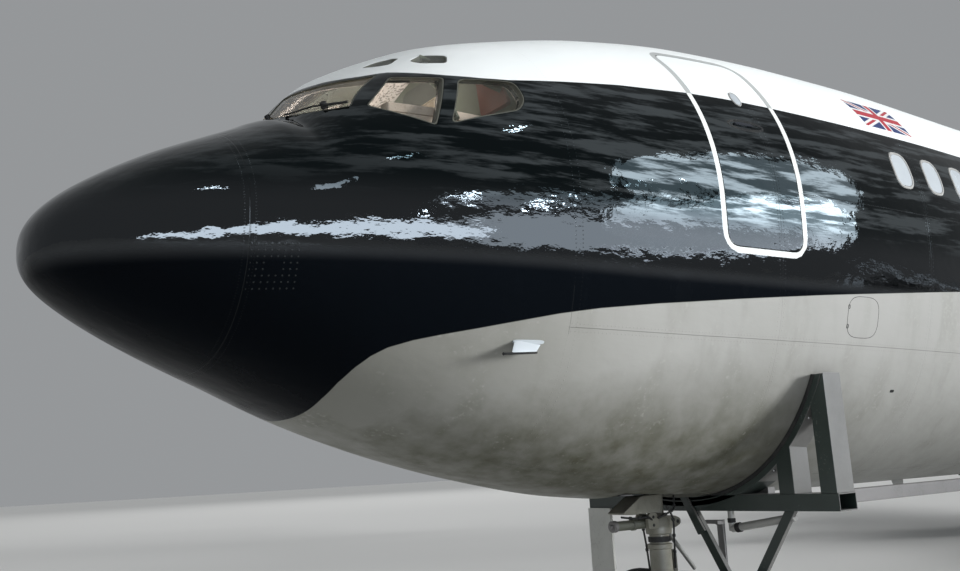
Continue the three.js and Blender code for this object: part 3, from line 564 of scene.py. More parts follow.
def skin_finish():
    """Fuselage paint: the white crown, the grey belly and the dark nose and band, with the door stripes,
    rivet rows, joints and grime, and painted shade low on the belly and towards the nose. The band's glossy
    part is a dark, wavy mirror whose tint carries thin pale wisps of painted reflection, and the doubler's
    rivet heads are painted lighter as painted glints."""
    f = Finish("fuselage_paint", "fuselage_paint", specular_ior_level=0.02, coat_roughness=0.05)
    place, x, y, z = f.position()
    band = f.attribute("band").step(-0.003, 0.003)
    stripe = 1 - abs(f.attribute("door_line")).step(0.022, 0.027)
    upper = z.step(0.1, 0.3)
    around = f.attribute("around")
    line, rivets = skin_joints(x, z, around)
    patch = doubler_rivets_and_glints(x, z) * (1 - y.step(0, 0.01))

    cloud = f.noise(place, 0.9, 5.0)
    streak = f.noise(place, 3.0, 4.0, stretch=(1.2, 1.0, 0.16))
    speck = f.noise(place, 26.0, 2.0)
    wisps = f.noise(place, 4.2, 6.0, 0.62, stretch=(0.3, 0.7, 2.8))
    grime = (streak.step(0.48, 0.8) * 0.4 + cloud.step(0.45, 0.8) * 0.35) * (1 - upper)
    low = 1 - z.step(-2.15, -1.1)

    white = f.mix(cloud.step(0.3, 0.8) * 0.3, WHITE, (0.72, 0.77, 0.78))
    grey = f.mix(grime, GREY, (0.27, 0.275, 0.25))
    # Painted shade: the grey darkens towards the keel, mottled by noise and weaker aft of about 6 m, and
    # darkens more towards the nose.
    ahead = 1 - x.step(0.8, 5.2)
    painted_belly_shade = low * (streak * 0.5 + f.noise(place, 6.0, 4.0) * 0.7 + 0.27) * (1 - x.step(5.2, 7.2) * 0.65)
    grey = f.mix(painted_belly_shade.max(ahead * 0.7), grey, (0.105, 0.105, 0.078))
    grey = f.mix((speck * streak).step(0.34, 0.5) * 0.25, grey, (0.5, 0.5, 0.48))
    light = f.mix(upper, grey, white)
    gloss = band * z.step(-0.84, -0.7) * (1 - stripe)
    # Painted reflection: above z -0.5 the glossy part's mirror tint carries pale wisps, weaker near the nose
    # tip, that stand for reflected light; below it the tint is even.
    painted_reflection = wisps.step(0.46, 0.6) * z.step(-0.5, -0.15) * (x.step(0.8, 3.5) * 0.7 + 0.3)
    shine = f.mix(painted_reflection, (0.014, 0.02, 0.022), (0.16, 0.182, 0.19))
    shine = f.mix(z.step(-0.5, -0.2), (0.052, 0.056, 0.06), shine)
    # Painted glints: the doubler's rivet heads on the left side lighten the navy.
    navy = f.mix(patch * 0.2, f.mix(gloss, NAVY, shine), (0.1, 0.11, 0.11))
    paint = f.mix(band, light, navy)
    paint = f.mix(stripe, paint, f.mix(band, STRIPE_GREY, (0.8, 0.83, 0.82)))
    paint = f.mix(line * (0.36 - band * 0.1), paint, SEAM_SHADE)
    paint = f.mix(rivets * (0.14 - band * 0.08), paint, (0.1, 0.1, 0.1))
    f.link("Base Color", paint)
    f.link("Metallic", gloss)
    f.link("Roughness", (0.3 - band * 0.12 + grime * 0.25 + speck * 0.06) * (1 - gloss) + gloss * 0.035)
    f.link("Coat Weight", (1 - band) * 0.1)
    f.bump((cloud, 0.012, 0.3), (f.noise(place, 3.2, 2.0, stretch=(0.8, 1.0, 1.3)), 0.0085, 0.6),
           (f.noise(place, 9.0, 3.0, stretch=(0.8, 1.0, 1.3)), 0.0026, 0.6),
           (f.noise(place, 18.0, 3.0, stretch=(0.35, 1.0, 1.6)), 0.0008, 0.6), (speck, 0.0002, 0.5),
           (1 - line, 0.003, 0.6), (rivets.max(patch), 0.002, 0.7))
    return f


def metal_finish(name, slot, color, roughness=0.32, metallic=0.85, panels=0.9):
    """Bare or silver-painted sheet with faint panels, grain and stains."""
    f = Finish(name, slot, metallic=metallic)
    place, _, y, _ = f.position()
    cloud = f.noise(place, 0.8, 4.0)
    fine = f.noise(place, 60.0, 2.0)
    lines = abs((y / panels).fract() - 0.5) * panels
    ribs = 1 - lines.step(0.002, 0.006)
    dark = tuple(c * 0.72 for c in color)
    paint = f.mix(cloud.step(0.35, 0.75) * 0.6 + fine * 0.12, color, dark)
    f.link("Base Color", f.mix(ribs * 0.35, paint, tuple(c * 0.4 for c in color)))
    f.link("Roughness", cloud * 0.18 + fine * 0.1 + (roughness - 0.12))
    f.bump((cloud, 0.01, 0.2), (1 - ribs, 0.003, 0.4), (fine, 0.001, 0.12))
    return f


def painted_finish(name, slot, color, roughness=0.4, wear=None, coat=0.0, scale=8.0):
    """Brushed or sprayed paint: colour drifts with noise, and edges of the noise show wear."""
    f = Finish(name, slot, coat_weight=coat, coat_roughness=0.08)
    place = f.place()
    cloud = f.noise(place, scale * 0.3, 4.0)
    fine = f.noise(place, scale * 6, 3.0)
    paint = f.mix(cloud.step(0.35, 0.75) * 0.5, color, tuple(c * 0.68 for c in color))
    if wear:
        paint = f.mix((fine * 0.6 + cloud * 0.5).step(0.62, 0.7) * 0.6, paint, wear)
    f.link("Base Color", paint)
    f.link("Roughness", cloud * 0.2 + fine * 0.15 + (roughness - 0.17))
    f.bump((fine, 0.0012, 0.25), (cloud, 0.004, 0.15))
    return f


def rubber_finish(name, slot, color=(0.018, 0.018, 0.019)):
    """Rubber with dust in its grain."""
    f = Finish(name, slot)
    place = f.place()
    fine = f.noise(place, 90.0, 3.0)
    dust = f.noise(place, 5.0, 4.0)
    f.link("Base Color", f.mix(dust.step(0.4, 0.8) * 0.5 + fine * 0.1, color, (0.07, 0.068, 0.062)))
    f.link("Roughness", fine * 0.2 + 0.68)
    f.bump((fine, 0.0015, 0.3))
    return f


def glass_finish(name, color, low, high):
    """Cockpit glass: a dusty, smeared pane that lets the cabin show through between two shares."""
    f = Finish(name, "cockpit_glass", roughness=0.03, coat_weight=1.0, coat_roughness=0.02)
    place = f.place()
    smear = f.noise(place, 5.0, 5.0, stretch=(1, 1, 0.5))
    f.link("Base Color", f.mix(smear.step(0.3, 0.8), color, tuple(c * 1.7 for c in color)))
    f.link("Alpha", smear.step(0.35, 0.85) * (high - low) + low)
    f.material.surface_render_method = "DITHERED"
    return f


def blank_finish():
    """Pale blanking sheet behind the cabin windows."""
    f = Finish("window_blank", "fuselage_paint", coat_weight=0.8, coat_roughness=0.05)
    place = f.place()
    tone = f.noise(place, 1.7, 2.0)
    f.link("Base Color", f.mix(tone, (0.42, 0.47, 0.52), (0.6, 0.65, 0.68)))
    f.link("Roughness", tone * 0.2 + 0.2)
    return f


def lining_finish():
    """Cabin lining: pale sheet with small holes spread by noise, darker where the noise thickens."""
    f = Finish("cabin_lining", "interior_panel")
    place = f.place()
    cloud = f.noise(place, 3.0, 3.0)
    hole = f.noise(place, 40.0, 1.0).step(0.5, 0.6)
    sheet = f.mix(cloud, (0.76, 0.69, 0.63), (0.6, 0.54, 0.48))
    f.link("Base Color", f.mix(hole * 0.75, sheet, (0.12, 0.1, 0.08)))
    f.link("Roughness", cloud * 0.2 + 0.55)
    f.bump((1 - hole, 0.004, 0.5))
    return f


def cloth_finish(name, color, thread):
    """Woven seat cloth: two crossed waves of thread, with worn, paler patches."""
    f = Finish(name, "seat_fabric", roughness=0.9, sheen_weight=0.3)
    place, x, y, z = f.position()
    weave = ((x + z) * thread).sine() * ((y - z) * thread).sine()
    worn = f.noise(place, 5.0, 4.0)
    pale = tuple(c * 1.5 for c in color)
    f.link("Base Color", f.mix(worn.step(0.35, 0.75) * 0.6 + weave * 0.12, color, pale))
    f.bump((weave, 0.0015, 0.5), (worn, 0.008, 0.4))
    return f


def frame_finish():
    """Cradle paint: dark green-grey on the faces that look ahead, and a pale grey as painted light on those
    that look left or up, worn in small patches."""
    f = Finish("cradle_paint", "cradle_paint", coat_weight=0.3, coat_roughness=0.15)
    place = f.place()
    pale = f.attribute("pale")
    cloud, fine = f.noise(place, 3.0, 4.0), f.noise(place, 45.0, 3.0)
    dark = f.mix(cloud.step(0.35, 0.75) * 0.6, (0.021, 0.034, 0.03), (0.036, 0.052, 0.046))
    dark = f.mix((fine * 0.6 + cloud * 0.5).step(0.66, 0.74) * 0.5, dark, (0.14, 0.15, 0.14))
    # Painted light: the pale grey on the marked faces stands for the light that falls on them.
    light = f.mix(cloud.step(0.35, 0.75) * 0.5 + fine * 0.2, (0.18, 0.18, 0.175), (0.13, 0.13, 0.125))
    f.link("Base Color", f.mix(pale, dark, light))
    f.link("Roughness", cloud * 0.2 + fine * 0.15 + 0.25)
    f.bump((fine, 0.0012, 0.3), (cloud, 0.004, 0.2))
    return f


def flag_finish():
    """A flag of crossed bars: distances to two diagonals and to the upright cross."""
    f = Finish("flag_paint", "fuselage_paint", coat_weight=0.3, coat_roughness=0.06, specular_ior_level=0.3)
    place, x, _, z = f.position()
    a = ((x - FLAG[0]) / (FLAG[1] - FLAG[0]) - 0.5) * 2
    b = (z - FLAG[2]) / (FLAG[3] - FLAG[2]) - 0.5
    slant = abs(b - a * 0.5).min(abs(b + a * 0.5)) / 1.118
    upright = abs(a).min(abs(b))
    white, red, blue = (0.8, 0.82, 0.82), (0.42, 0.02, 0.035), (0.012, 0.03, 0.14)
    paint = f.mix(1 - slant.step(0.095, 0.105), blue, white)
    paint = f.mix(1 - slant.step(0.03, 0.04), paint, red)
    paint = f.mix(1 - upright.step(0.16, 0.17), paint, white)
    f.link("Base Color", f.mix(1 - upright.step(0.095, 0.105), paint, red))
    f.link("Roughness", f.noise(place, 9.0) * 0.15 + 0.25)
    return f


FLAG = (6.86, 7.6, 0.87, 1.21)

skin_paint = skin_finish()
flag_paint = flag_finish()
wing_metal = metal_finish("wing_metal", "wing_metal", (0.46, 0.48, 0.49), 0.42, 0.7)
pod_metal = metal_finish("nacelle_metal", "nacelle_metal", (0.5, 0.51, 0.52), 0.34, 0.85, panels=5.0)
lip_metal = metal_finish("polished_lip", "nacelle_metal", (0.72, 0.73, 0.74), 0.2, 1.0, panels=9.0)
burnt_metal = metal_finish("burnt_metal", "nacelle_metal", (0.3, 0.26, 0.22), 0.45, 1.0, panels=9.0)
lamp_red = painted_finish("lamp_red", "wing_metal", (0.35, 0.01, 0.01), 0.12, coat=0.8, scale=40)
lamp_green = painted_finish("lamp_green", "wing_metal", (0.01, 0.2, 0.08), 0.12, coat=0.8, scale=40)
rotor_metal = metal_finish("rotor_metal", "rotor_metal", (0.36, 0.37, 0.39), 0.35, 0.9, panels=9.0)
fin_paint = painted_finish("fin_paint", "fin_paint", (0.006, 0.009, 0.016), 0.22, coat=0.7, scale=3.0)
grey_paint = painted_finish("grey_paint", "grey_paint", (0.41, 0.412, 0.40), 0.36, coat=0.2, scale=3.0)
gear_paint = painted_finish("gear_paint", "gear_steel", (0.17, 0.18, 0.145), 0.42, wear=(0.06, 0.055, 0.045),
                            coat=0.1, scale=22)
pale_gear = painted_finish("pale_gear_paint", "gear_steel", (0.27, 0.265, 0.22), 0.45, wear=(0.1, 0.09, 0.07),
                           scale=30)
bright_steel = metal_finish("bright_steel", "gear_steel", (0.6, 0.61, 0.62), 0.2, 1.0, panels=9.0)
cradle_green = frame_finish()
pale_steel = painted_finish("pale_steel", "cradle_paint", (0.22, 0.215, 0.215), 0.45, wear=(0.15, 0.15, 0.14),
                            scale=10)
board_grey = painted_finish("board_grey", "cradle_paint", (0.62, 0.63, 0.6), 0.45, wear=(0.45, 0.45, 0.43),
                            scale=6)
tyre_rubber = rubber_finish("tyre_rubber", "tyre_rubber")
pad_rubber = rubber_finish("pad_rubber", "pad_rubber", (0.007, 0.007, 0.008))
hub_paint = painted_finish("hub_paint", "gear_steel", (0.42, 0.43, 0.42), 0.35, wear=(0.1, 0.09, 0.08))
glass = glass_finish("cockpit_glass", (0.1, 0.1, 0.085), 0.08, 0.2)
front_glass = glass_finish("windshield_glass", (0.2, 0.165, 0.11), 0.45, 0.7)
blank = blank_finish()
dark_gap = rubber_finish("dark_gap", "pad_rubber", (0.004, 0.004, 0.004))
seal_grey = painted_finish("window_seal", "fuselage_paint", (0.085, 0.088, 0.072), 0.5, scale=20)
lining = lining_finish()
panel_grey = painted_finish("panel_grey", "interior_panel", (0.07, 0.075, 0.065), 0.5, scale=14)
cabin_green = painted_finish("cabin_green", "interior_panel", (0.14, 0.155, 0.12), 0.6, scale=14)
cabin_cream = painted_finish("cabin_cream", "interior_panel", (0.6, 0.5, 0.4), 0.6, wear=(0.3, 0.24, 0.18),
                             scale=14)
russet_trim = painted_finish("russet_trim", "interior_panel", (0.2, 0.065, 0.045), 0.7, scale=18)
dial_face = painted_finish("dial_face", "interior_panel", (0.012, 0.012, 0.012), 0.3, coat=0.6, scale=40)
seat_cloth = cloth_finish("seat_cloth", (0.36, 0.3, 0.22), 420.0)


# Fuselage

RINGS = {
    "radome": np.concatenate([np.linspace(0, 0.35, 30) ** 2 / 0.35, np.linspace(0.37, NOSE_JOINT, 26)]),
    "cockpit_section": np.linspace(NOSE_JOINT, COCKPIT_JOINT, 106),
    "forward_fuselage": np.array([*np.arange(COCKPIT_JOINT, 8.2, 0.06), *np.arange(8.4, 13.4, 0.4), 13.4]),
    "centre_fuselage": np.linspace(13.4, 25.9, 30),
    "rear_fuselage": np.linspace(25.9, 37, 90),
    "tail_section": np.linspace(37, 44.35, 70),
}
AROUND = 224
SKIN_THICKNESS = 0.08

# Band edges: (x, z) along the top, and from the belly up and aft along the bottom
BAND_TOP = np.array([(0, 9), (2.088, 9), (2.09, 0.628), (2.45, 0.593), (2.68, 0.589), (2.89, 0.599),
                     (3.33, 0.661), (3.9, 0.735), (4.55, 0.785), (4.97, 0.794), (5.4, 0.793),
                     (6.1, 0.777), (8.4, 0.78), (34, 0.78), (40, 0.95), (44.35, 1.02)])
BAND_BOTTOM = np.array([(1.706, -9), (1.71, -1.72), (1.714, -1.676), (1.719, -1.6), (1.74, -1.516),
                        (1.786, -1.437), (1.852, -1.372), (1.932, -1.326), (2.075, -1.285),
                        (2.241, -1.253), (2.478, -1.212), (3.066, -1.104), (3.393, -1.056),
                        (3.942, -0.996), (4.749, -0.923), (5.658, -0.848), (6.586, -0.78),
                        (7.613, -0.703), (10, -0.53), (13, -0.36), (16, -0.24), (20, -0.14), (27, -0.1),
                        (34, -0.08), (38, 0.1), (41, 0.5), (44.35, 0.75)])
# Over the windshield: (distance from the middle, height) of the white roof's edge
BROW = np.array([(0, 0.69), (0.3, 0.637), (0.49, 0.603), (0.69, 0.583), (0.8, 0.592), (0.872, 0.622),
                 (1.1, 0.628)])

# Doors: front edge, rear edge, sill, top, side, corner radius
DOORS = {
    "forward_passenger_door": (4.63, 5.47, -0.52, 1.3, -1, 0.12),
    "rear_passenger_door": (32.2, 33.02, -0.5, 1.2, -1, 0.12),
    "forward_service_door": (5.0, 5.62, -0.5, 0.85, 1, 0.1),
    "rear_service_door": (31.2, 31.82, -0.5, 0.8, 1, 0.1),
}
DOOR_GAP = 0.008
NOSE_BAY = (4.55, -0.4, -3), (5.62, 0.4, -1.6)
STRIPE_OUT = 0.028

# Cockpit windows on the left: plane, depth of the cut, corner radius, outline
COCKPIT_WINDOWS = {
    "windshield": ("yz", (1.2, 2.12), 0.02, [
        (-0.03, 0.435), (-0.2, 0.41), (-0.4, 0.36), (-0.6, 0.3), (-0.8, 0.26), (-0.95, 0.243), (-1.03, 0.255),
        (-0.872, 0.604), (-0.8, 0.57), (-0.69, 0.56), (-0.49, 0.58), (-0.3, 0.615), (-0.03, 0.67)]),
    "sliding_window": ("xz", (-1.9, -0.7), 0.03,
                       [(2.09, 0.568), (2.429, 0.568), (2.214, 0.108), (1.823, 0.253)]),
    "side_window": ("xz", (-1.9, -0.9), 0.06, [
        (2.513, 0.568), (2.312, 0.132), (2.533, 0.209), (2.866, 0.313), (2.947, 0.425), (2.934, 0.59),
        (2.781, 0.586)]),
    "eyebrow_front": ("xy", (0.4, 1.3), 0.04, [
        (2.03, -0.645), (2.172, -0.628), (2.291, -0.668), (2.319, -0.718), (2.198, -0.789), (2.105, -0.741)]),
    "eyebrow_rear": ("xy", (0.4, 1.3), 0.04, [
        (2.324, -0.831), (2.447, -0.785), (2.615, -0.903), (2.539, -1.007), (2.37, -0.92)]),
}


def segment_distance(points, line):
    """Shortest distance from each point to a line through the given corners."""
    best = np.full(len(points), 1e9)
    for a, b in zip(line[:-1], line[1:]):
        t = np.clip(((points - a) @ (b - a)) / ((b - a) @ (b - a)), 0, 1)
        best = np.minimum(best, np.linalg.norm(points - (a + t[:, None] * (b - a)), axis=1))
    return best


def rounded_box(u, v, half_u, half_v, radius):
    """Signed distance to a rounded rectangle, negative inside."""
    du, dv = np.abs(u) - half_u + radius, np.abs(v) - half_v + radius
    outside = np.hypot(np.maximum(du, 0), np.maximum(dv, 0))
    return outside + np.minimum(np.maximum(du, dv), 0) - radius


def mark_livery(mesh):
    """Stores on each point how deep it lies in the dark band, its distance to the door stripes and how far
    round the body it is."""
    p = real_points(mesh)
    x, y, z = p.T
    xz = p[:, [0, 2]]
    edge = np.interp(x, *BAND_TOP.T)
    edge = np.where(x < 2.1, np.interp(np.abs(y), *BROW.T), edge)
    top = edge - z
    above = z > np.interp(x, *BAND_BOTTOM.T)
    ahead = x < np.interp(z, *BAND_BOTTOM[:, ::-1].T)
    bottom = segment_distance(xz, BAND_BOTTOM) * np.where(above | ahead, 1, -1)
    mark(mesh, "band", np.minimum(top, bottom))
    line = np.full(len(p), 9.0)
    for front, rear, sill, high, side, radius in DOORS.values():
        d = rounded_box(x - (front + rear) / 2, z - (sill + high) / 2, (rear - front) / 2 + STRIPE_OUT,
                        (high - sill) / 2 + STRIPE_OUT, radius + STRIPE_OUT)
        line = np.where(y * side > 0, np.where(np.abs(d) < np.abs(line), d, line), line)
    mark(mesh, "door_line", line)
    waist = outline(x)[3]
    mark(mesh, "around", LOBE_RADIUS * np.arctan2(np.abs(y), z - waist))


def shell(stations, inset=0.0, thickness=SKIN_THICKNESS, around=AROUND):
    """A closed wall of fuselage: the skin going aft outside and coming back inside."""
    angle = full_turn(around)
    outer = skin(stations[:, None], angle[None], inset)
    inner = skin(stations[::-1, None], angle[None], inset + thickness)
    points = np.concatenate([outer, inner])
    return points.reshape(-1, 3), grid_faces(len(points), around, close_rows=True, close_columns=True)


def window_cutter(name, side, margin=0.0):
    """The room of a cockpit window on one side, its rounded outline grown by a margin."""
    plane, depth, radius, points = COCKPIT_WINDOWS[name]
    points = rounded(grown(points, margin), radius)
    if side > 0 and plane == "yz":
        points = points * [-1, 1]
    if side > 0 and plane == "xy":
        points = points * [1, -1]
    if side > 0 and plane == "xz":
        depth = (-depth[1], -depth[0])
    return prism(points, plane, *depth)


def door_cutter(name, margin):
    """The room of a door, its rounded outline grown by a margin."""
    front, rear, sill, high, side, radius = DOORS[name]
    corners = [(front, sill), (rear, sill), (rear, high), (front, high)]
    near, far = sorted((side * 0.5, side * 2.4))
    return prism(grown(rounded(corners, radius, 8), margin), "xz", near, far)


def build_fuselage():
    """Each barrel as a wall of skin, with the windows, doors and nose wheel bay cut through it."""
    for name, stations in RINGS.items():
        points, faces = shell(stations)
        if name == "radome":
            points, faces = tube_of(skin(stations[:, None], full_turn(AROUND)[None]))
        mesh = make_mesh(name, points, faces)
        cutters = []
        if name == "cockpit_section":
            cutters = [window_cutter(window, side) for window in COCKPIT_WINDOWS for side in (-1, 1)]
        for door, values in DOORS.items():
            if stations[0] < values[0] < stations[-1]:
                cutters.append(door_cutter(door, DOOR_GAP / 2))
                leaf = carve(make_mesh(door, points, faces), [door_cutter(door, -DOOR_GAP / 2)], "INTERSECT")
                mark_livery(leaf)
                place_mesh(f"{door}_skin", leaf, skin_paint, replaces=[door])
        if name == "forward_fuselage":
            cutters.append(box(*NOSE_BAY))
        if cutters:
            mesh = carve(mesh, cutters)
        mark_livery(mesh)
        place_mesh(f"{name}_skin", mesh, skin_paint, replaces=[name])


def build_cockpit_windows():
    """Panes cut from a thin wall just inside the skin, each in a seal that follows its outline."""
    stations = RINGS["cockpit_section"]
    pane_wall = shell(stations, 0.012, 0.02)
    seal_wall = shell(stations, 0.002, 0.04)
    for window in COCKPIT_WINDOWS:
        for side, hand in SIDES:
            cutter = window_cutter(window, side, -0.002)
            mesh = carve(make_mesh("pane", *pane_wall), [cutter], "INTERSECT")
            nodes = [f"{window}_{hand}"] if f"{window}_{hand}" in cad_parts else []
            place_mesh(f"{window}_pane_{hand}", mesh, front_glass if window == "windshield" else glass,
                       replaces=nodes)
            ring = carve(make_mesh("seal", *seal_wall), [cutter], "INTERSECT")
            ring = carve(ring, [window_cutter(window, side, -0.009)])
            place_mesh(f"{window}_seal_{hand}", ring, seal_grey)


# Cabin windows

WINDOW_PITCH = 0.508
WINDOW_ROW = (7.03, 0.4, 31.2)
WINDOW_SIZE = (0.115, 0.16)


def plate(x, z, half_u, half_v, side, out, power=3.0, rings=5, around=28, dome=0.0):
    """A thin plate lying on the fuselage's side: rings of a superellipse from its centre to its edge,
    stood off the skin and domed a little."""
    angle = full_turn(around)
    c, s = np.cos(angle), np.sin(angle)
    u, v = half_u * squared(c, 2 / power), half_v * squared(s, 2 / power)
    share = np.linspace(1, 0.02, rings)
    height = out + dome * (1 - share**2)
    top = flank(x + share[:, None] * u, z + share[:, None] * v, side, height[:, None, None])
    foot = flank(x + u, z + v, side, -0.01)[None]
    points = np.concatenate([foot, top])
    faces = grid_faces(rings + 1, around, close_columns=True)
    return points.reshape(-1, 3), faces + [list(range(rings * around, (rings + 1) * around))]


def rim(x, z, half_u, half_v, width, side, out, power=3.0, around=32):
    """A frame round a window: a low arch carried round a superellipse on the skin."""
    angle = full_turn(around)
    c, s = np.cos(angle), np.sin(angle)
    across = np.array([-1, -0.6, 0.6, 1, 1, -1]) * width / 2
    lift = np.array([0.0, out, out, 0.0, -0.01, -0.01])
    across = across[:, None]
    u, v = (half_u + across) * squared(c, 2 / power), (half_v + across) * squared(s, 2 / power)
    points = flank(x + u, z + v, side, lift[:, None, None])
    return points.reshape(-1, 3), grid_faces(6, around, close_rows=True, close_columns=True)


def build_cabin_windows():
    """The row of blanked windows on each side, and their rims."""
    start, height, end = WINDOW_ROW
    for side, hand in SIDES:
        places = np.arange(start, end, WINDOW_PITCH)
        panes = merge(*[plate(x, height, *WINDOW_SIZE, side, 0.003) for x in places])
        rims = merge(*[rim(x, height, WINDOW_SIZE[0] + 0.014, WINDOW_SIZE[1] + 0.014, 0.026, side, 0.006)
                       for x in places])
        place(f"cabin_windows_{hand}", panes, blank)
        place(f"cabin_window_rims_{hand}", rims, grey_paint)


# Small things on the skin

def patch(x_range, z_range, side, out):
    """A thin sheet lying on the skin between two distances and two heights, closed all round."""
    x = np.linspace(*x_range, 30)[:, None]
    z = np.linspace(*z_range, 16)[None]
    over, under = flank(x, z, side, out), flank(x, z, side, -0.004)
    return tube_of(np.concatenate([over, under[:, ::-1]], 1))


BLADE_SWEEP, BLADE_HALF = 0.5, 0.016
VENTS = ((6.9, -1.6), (7.9, -1.2), (12.4, -1.4), (29.0, -1.2))
# Aerials: front edge, length, height above the crown, or below the keel where it is less than nothing
AERIALS = ((7.2, 0.32, 0.3), (12.6, 0.36, 0.32), (29.5, 0.3, 0.26), (9.2, 0.26, -0.2), (28.6, 0.3, -0.24))


def build_probe(side, hand):
    """A pressure probe: a lens-shaped blade from the skin out to a tube that points ahead."""
    root, tip = flank(2.86, -1.293, side), flank(2.78, -1.33, side, 0.085)
    nose, end = tip - [0.145, 0, 0.012], tip + [0.13, 0, 0.004]
    lens = full_turn(24)
    sections = ((root - [0, side * 0.02, 0], 0.115), (root, 0.115), (tip + [0.02, 0, 0.004], 0.1))
    rings = [middle + np.stack([half * np.cos(lens), 0 * lens, 0.008 * np.sin(lens)], -1)
             for middle, half in sections]
    foot = plate(2.86, -1.289, 0.118, 0.013, side, 0.006, 4.0)
    place(f"probe_{hand}", [tube_of(rings), foot], blank, slot="gear_steel")
    tube = merge(rod(nose, end, 0.0075, 14), rod(nose - [0.012, 0, 0.001], nose, 0.0105, 14))
    place(f"probe_tube_{hand}", tube, dark_gap, slot="gear_steel")


def build_door_fittings():
    """Porthole, window rims, handle recesses and levers of the two passenger doors."""
    place("door_porthole", plate(5.11, 0.815, 0.04, 0.062, -1, 0.004, 2.2, dome=0.003), blank,
          slot="door_paint")
    frames = merge(rim(5.11, 0.815, 0.047, 0.069, 0.01, -1, 0.005, 2.2),
                   rim(32.6, 0.4, 0.1, 0.14, 0.02, -1, 0.006))
    place("door_window_rims", frames, grey_paint, slot="door_paint")
    recess = merge(rim(5.06, 0.535, 0.19, 0.042, 0.026, -1, 0.0015, 2.0, 48),
                   rim(32.62, -0.1, 0.14, 0.035, 0.02, -1, 0.0015, 2.0, 48))
    place("door_handle_recess", recess, dark_gap, slot="door_paint")
    lever = merge(*[plate(x, z, 0.1, 0.012, -1, 0.012, 4.0) for x, z in ((5.03, 0.537), (32.6, -0.1))])
    place("door_handle_lever", lever, fin_paint, slot="door_paint")


def build_aerials():
    """Blade aerials, and a beacon on the crown and under the keel."""
    aerials = []
    for x, length, high in AERIALS:
        crown, keel = outline(np.array([x]))[:2]
        aerials.append(blade(x, crown[0] - 0.02 if high > 0 else keel[0] + 0.02, length, high))
    place("aerials", aerials, grey_paint)
    dome = [(0, 0.07), (0.03, 0.068), (0.07, 0.05), (0.1, 0.02), (0.105, 0.001)]
    beacons = [turned(dome, (19.5, 0, z), (0, 0, way), 24) for z, way in ((1.872, 1), (-2.49, -1))]
    place("beacons", beacons, russet_trim, slot="fuselage_paint")


def build_skin_details():
    """Flag, hatch outline with its hinges, probe and vents on each side, door fittings and aerials."""
    for side, hand in SIDES:
        place(f"flag_{hand}", patch(FLAG[:2], FLAG[2:], side, 0.0012), flag_paint)
        hinges = [rim(6.05, z, 0.01, 0.016, 0.005, side, 0.002) for z in (-0.92, -1.08)]
        hatch = merge(rim(6.25, -1.0, 0.21, 0.17, 0.004, side, 0.0008, 3.4, 48), *hinges)
        place(f"hatch_outline_{hand}", hatch, dark_gap)
        build_probe(side, hand)
        vents = merge(*[plate(x, z, 0.03, 0.012, side, 0.001, 4.0, 3, 16) for x, z in VENTS])
        place(f"vents_{hand}", vents, dark_gap)
    build_door_fittings()
    build_aerials()


def blade(x, foot, length, high):
    """A swept blade standing on the crown or the keel: a lens section that shortens towards its tip."""
    angle = full_turn(20)
    t = np.linspace(0, 1, 6)[:, None]
    chord = length * (1 - 0.45 * t)
    px = x + BLADE_SWEEP * abs(high) * t + chord * (np.cos(angle) + 1) / 2
    py = BLADE_HALF * np.sin(angle) * (1 - 0.5 * t) + 0 * px
    return tube_of(np.stack([px, py, foot + high * t + 0 * px], -1))


def wiper(path, pivot, arm):
    """A wiper: a thin rubber blade lying on the glass, its arm, and the block that it turns on."""
    lift = np.array([-0.55, -0.35, 0.76]) * 0.014
    return merge(swept(path + lift, 0.006, 8), swept(arm + lift * 1.6, 0.009, 8),
                 rod(pivot - lift, pivot + lift * 2.4, 0.024, 14))


def build_wipers():
    """A wiper and a spray nozzle on each side, and the seal lines at the windshield's middle."""
    rubber = np.array([(1.544, -0.443, 0.348), (1.553, -0.583, 0.318), (1.572, -0.683, 0.308),
                       (1.598, -0.778, 0.3), (1.636, -0.844, 0.295)])
    arm = np.array([(1.636, -0.88, 0.272), (1.683, -0.954, 0.266), (1.74, -1.012, 0.268)])
    pivot = np.array([1.637, -0.865, 0.29])
    nozzle = np.array([(1.585, -0.102, 0.45), (1.56, -0.102, 0.485)])
    for side, hand in SIDES:
        turn = np.array([1, -side, 1])
        parts = [wiper(rubber * turn, pivot * turn, arm * turn), rod(*(nozzle * turn), 0.02, 12)]
        place(f"wiper_{hand}", parts, dark_gap, slot="cockpit_glass")
    lines = ((0.06, 1.575, 0.447, 1.73, 0.66), (0.1, 1.578, 0.445, 1.728, 0.652))
    bars = [swept([(x0, side * y, z0), (x1, side * y, z1)], 0.005, 8)
            for side in (-1, 1) for y, x0, z0, x1, z1 in lines]
    place("windshield_seal_lines", bars, seal_grey)


# Cockpit

FLOOR = -0.43
SEAM_DEPTH = 0.012


def cushion(low, high, crown, seams, facing):
    """A stuffed pad: a squared-off ball whose sides pull in between its corners, with the stated face
    swollen and sunk again along each sewn channel."""
    low, high = np.asarray(low, float), np.asarray(high, float)
    t = np.linspace(-np.pi / 2, np.pi / 2, 26)[:, None]
    a = full_turn(56)[None]

    u = squared(np.cos(t), 0.35) * squared(np.cos(a), 0.35)
    v = squared(np.cos(t), 0.35) * squared(np.sin(a), 0.35)
    w = squared(np.sin(t), 0.6) + 0 * a
    pinch = 1 - 0.035 * (1 - w**2)
    u, v = u * pinch * (1 - 0.03 * (1 - v**2)), v * pinch * (1 - 0.03 * (1 - u**2))
    w = w * (1 - crown + crown * (1 - u**2) * (1 - v**2) * 1.6)
    channel = sum(np.exp(-((v - s) / 0.05) ** 2) for s in seams)
    w = w - np.sign(w) * channel * SEAM_DEPTH / ((high - low)[facing] / 2) * (np.abs(w) > 0.3)
    order = {2: (u, v, w), 0: (w, v, u)}[facing]
    middle, half = (low + high) / 2, (high - low) / 2
    return tube_of(middle + np.stack(order, -1) * half)


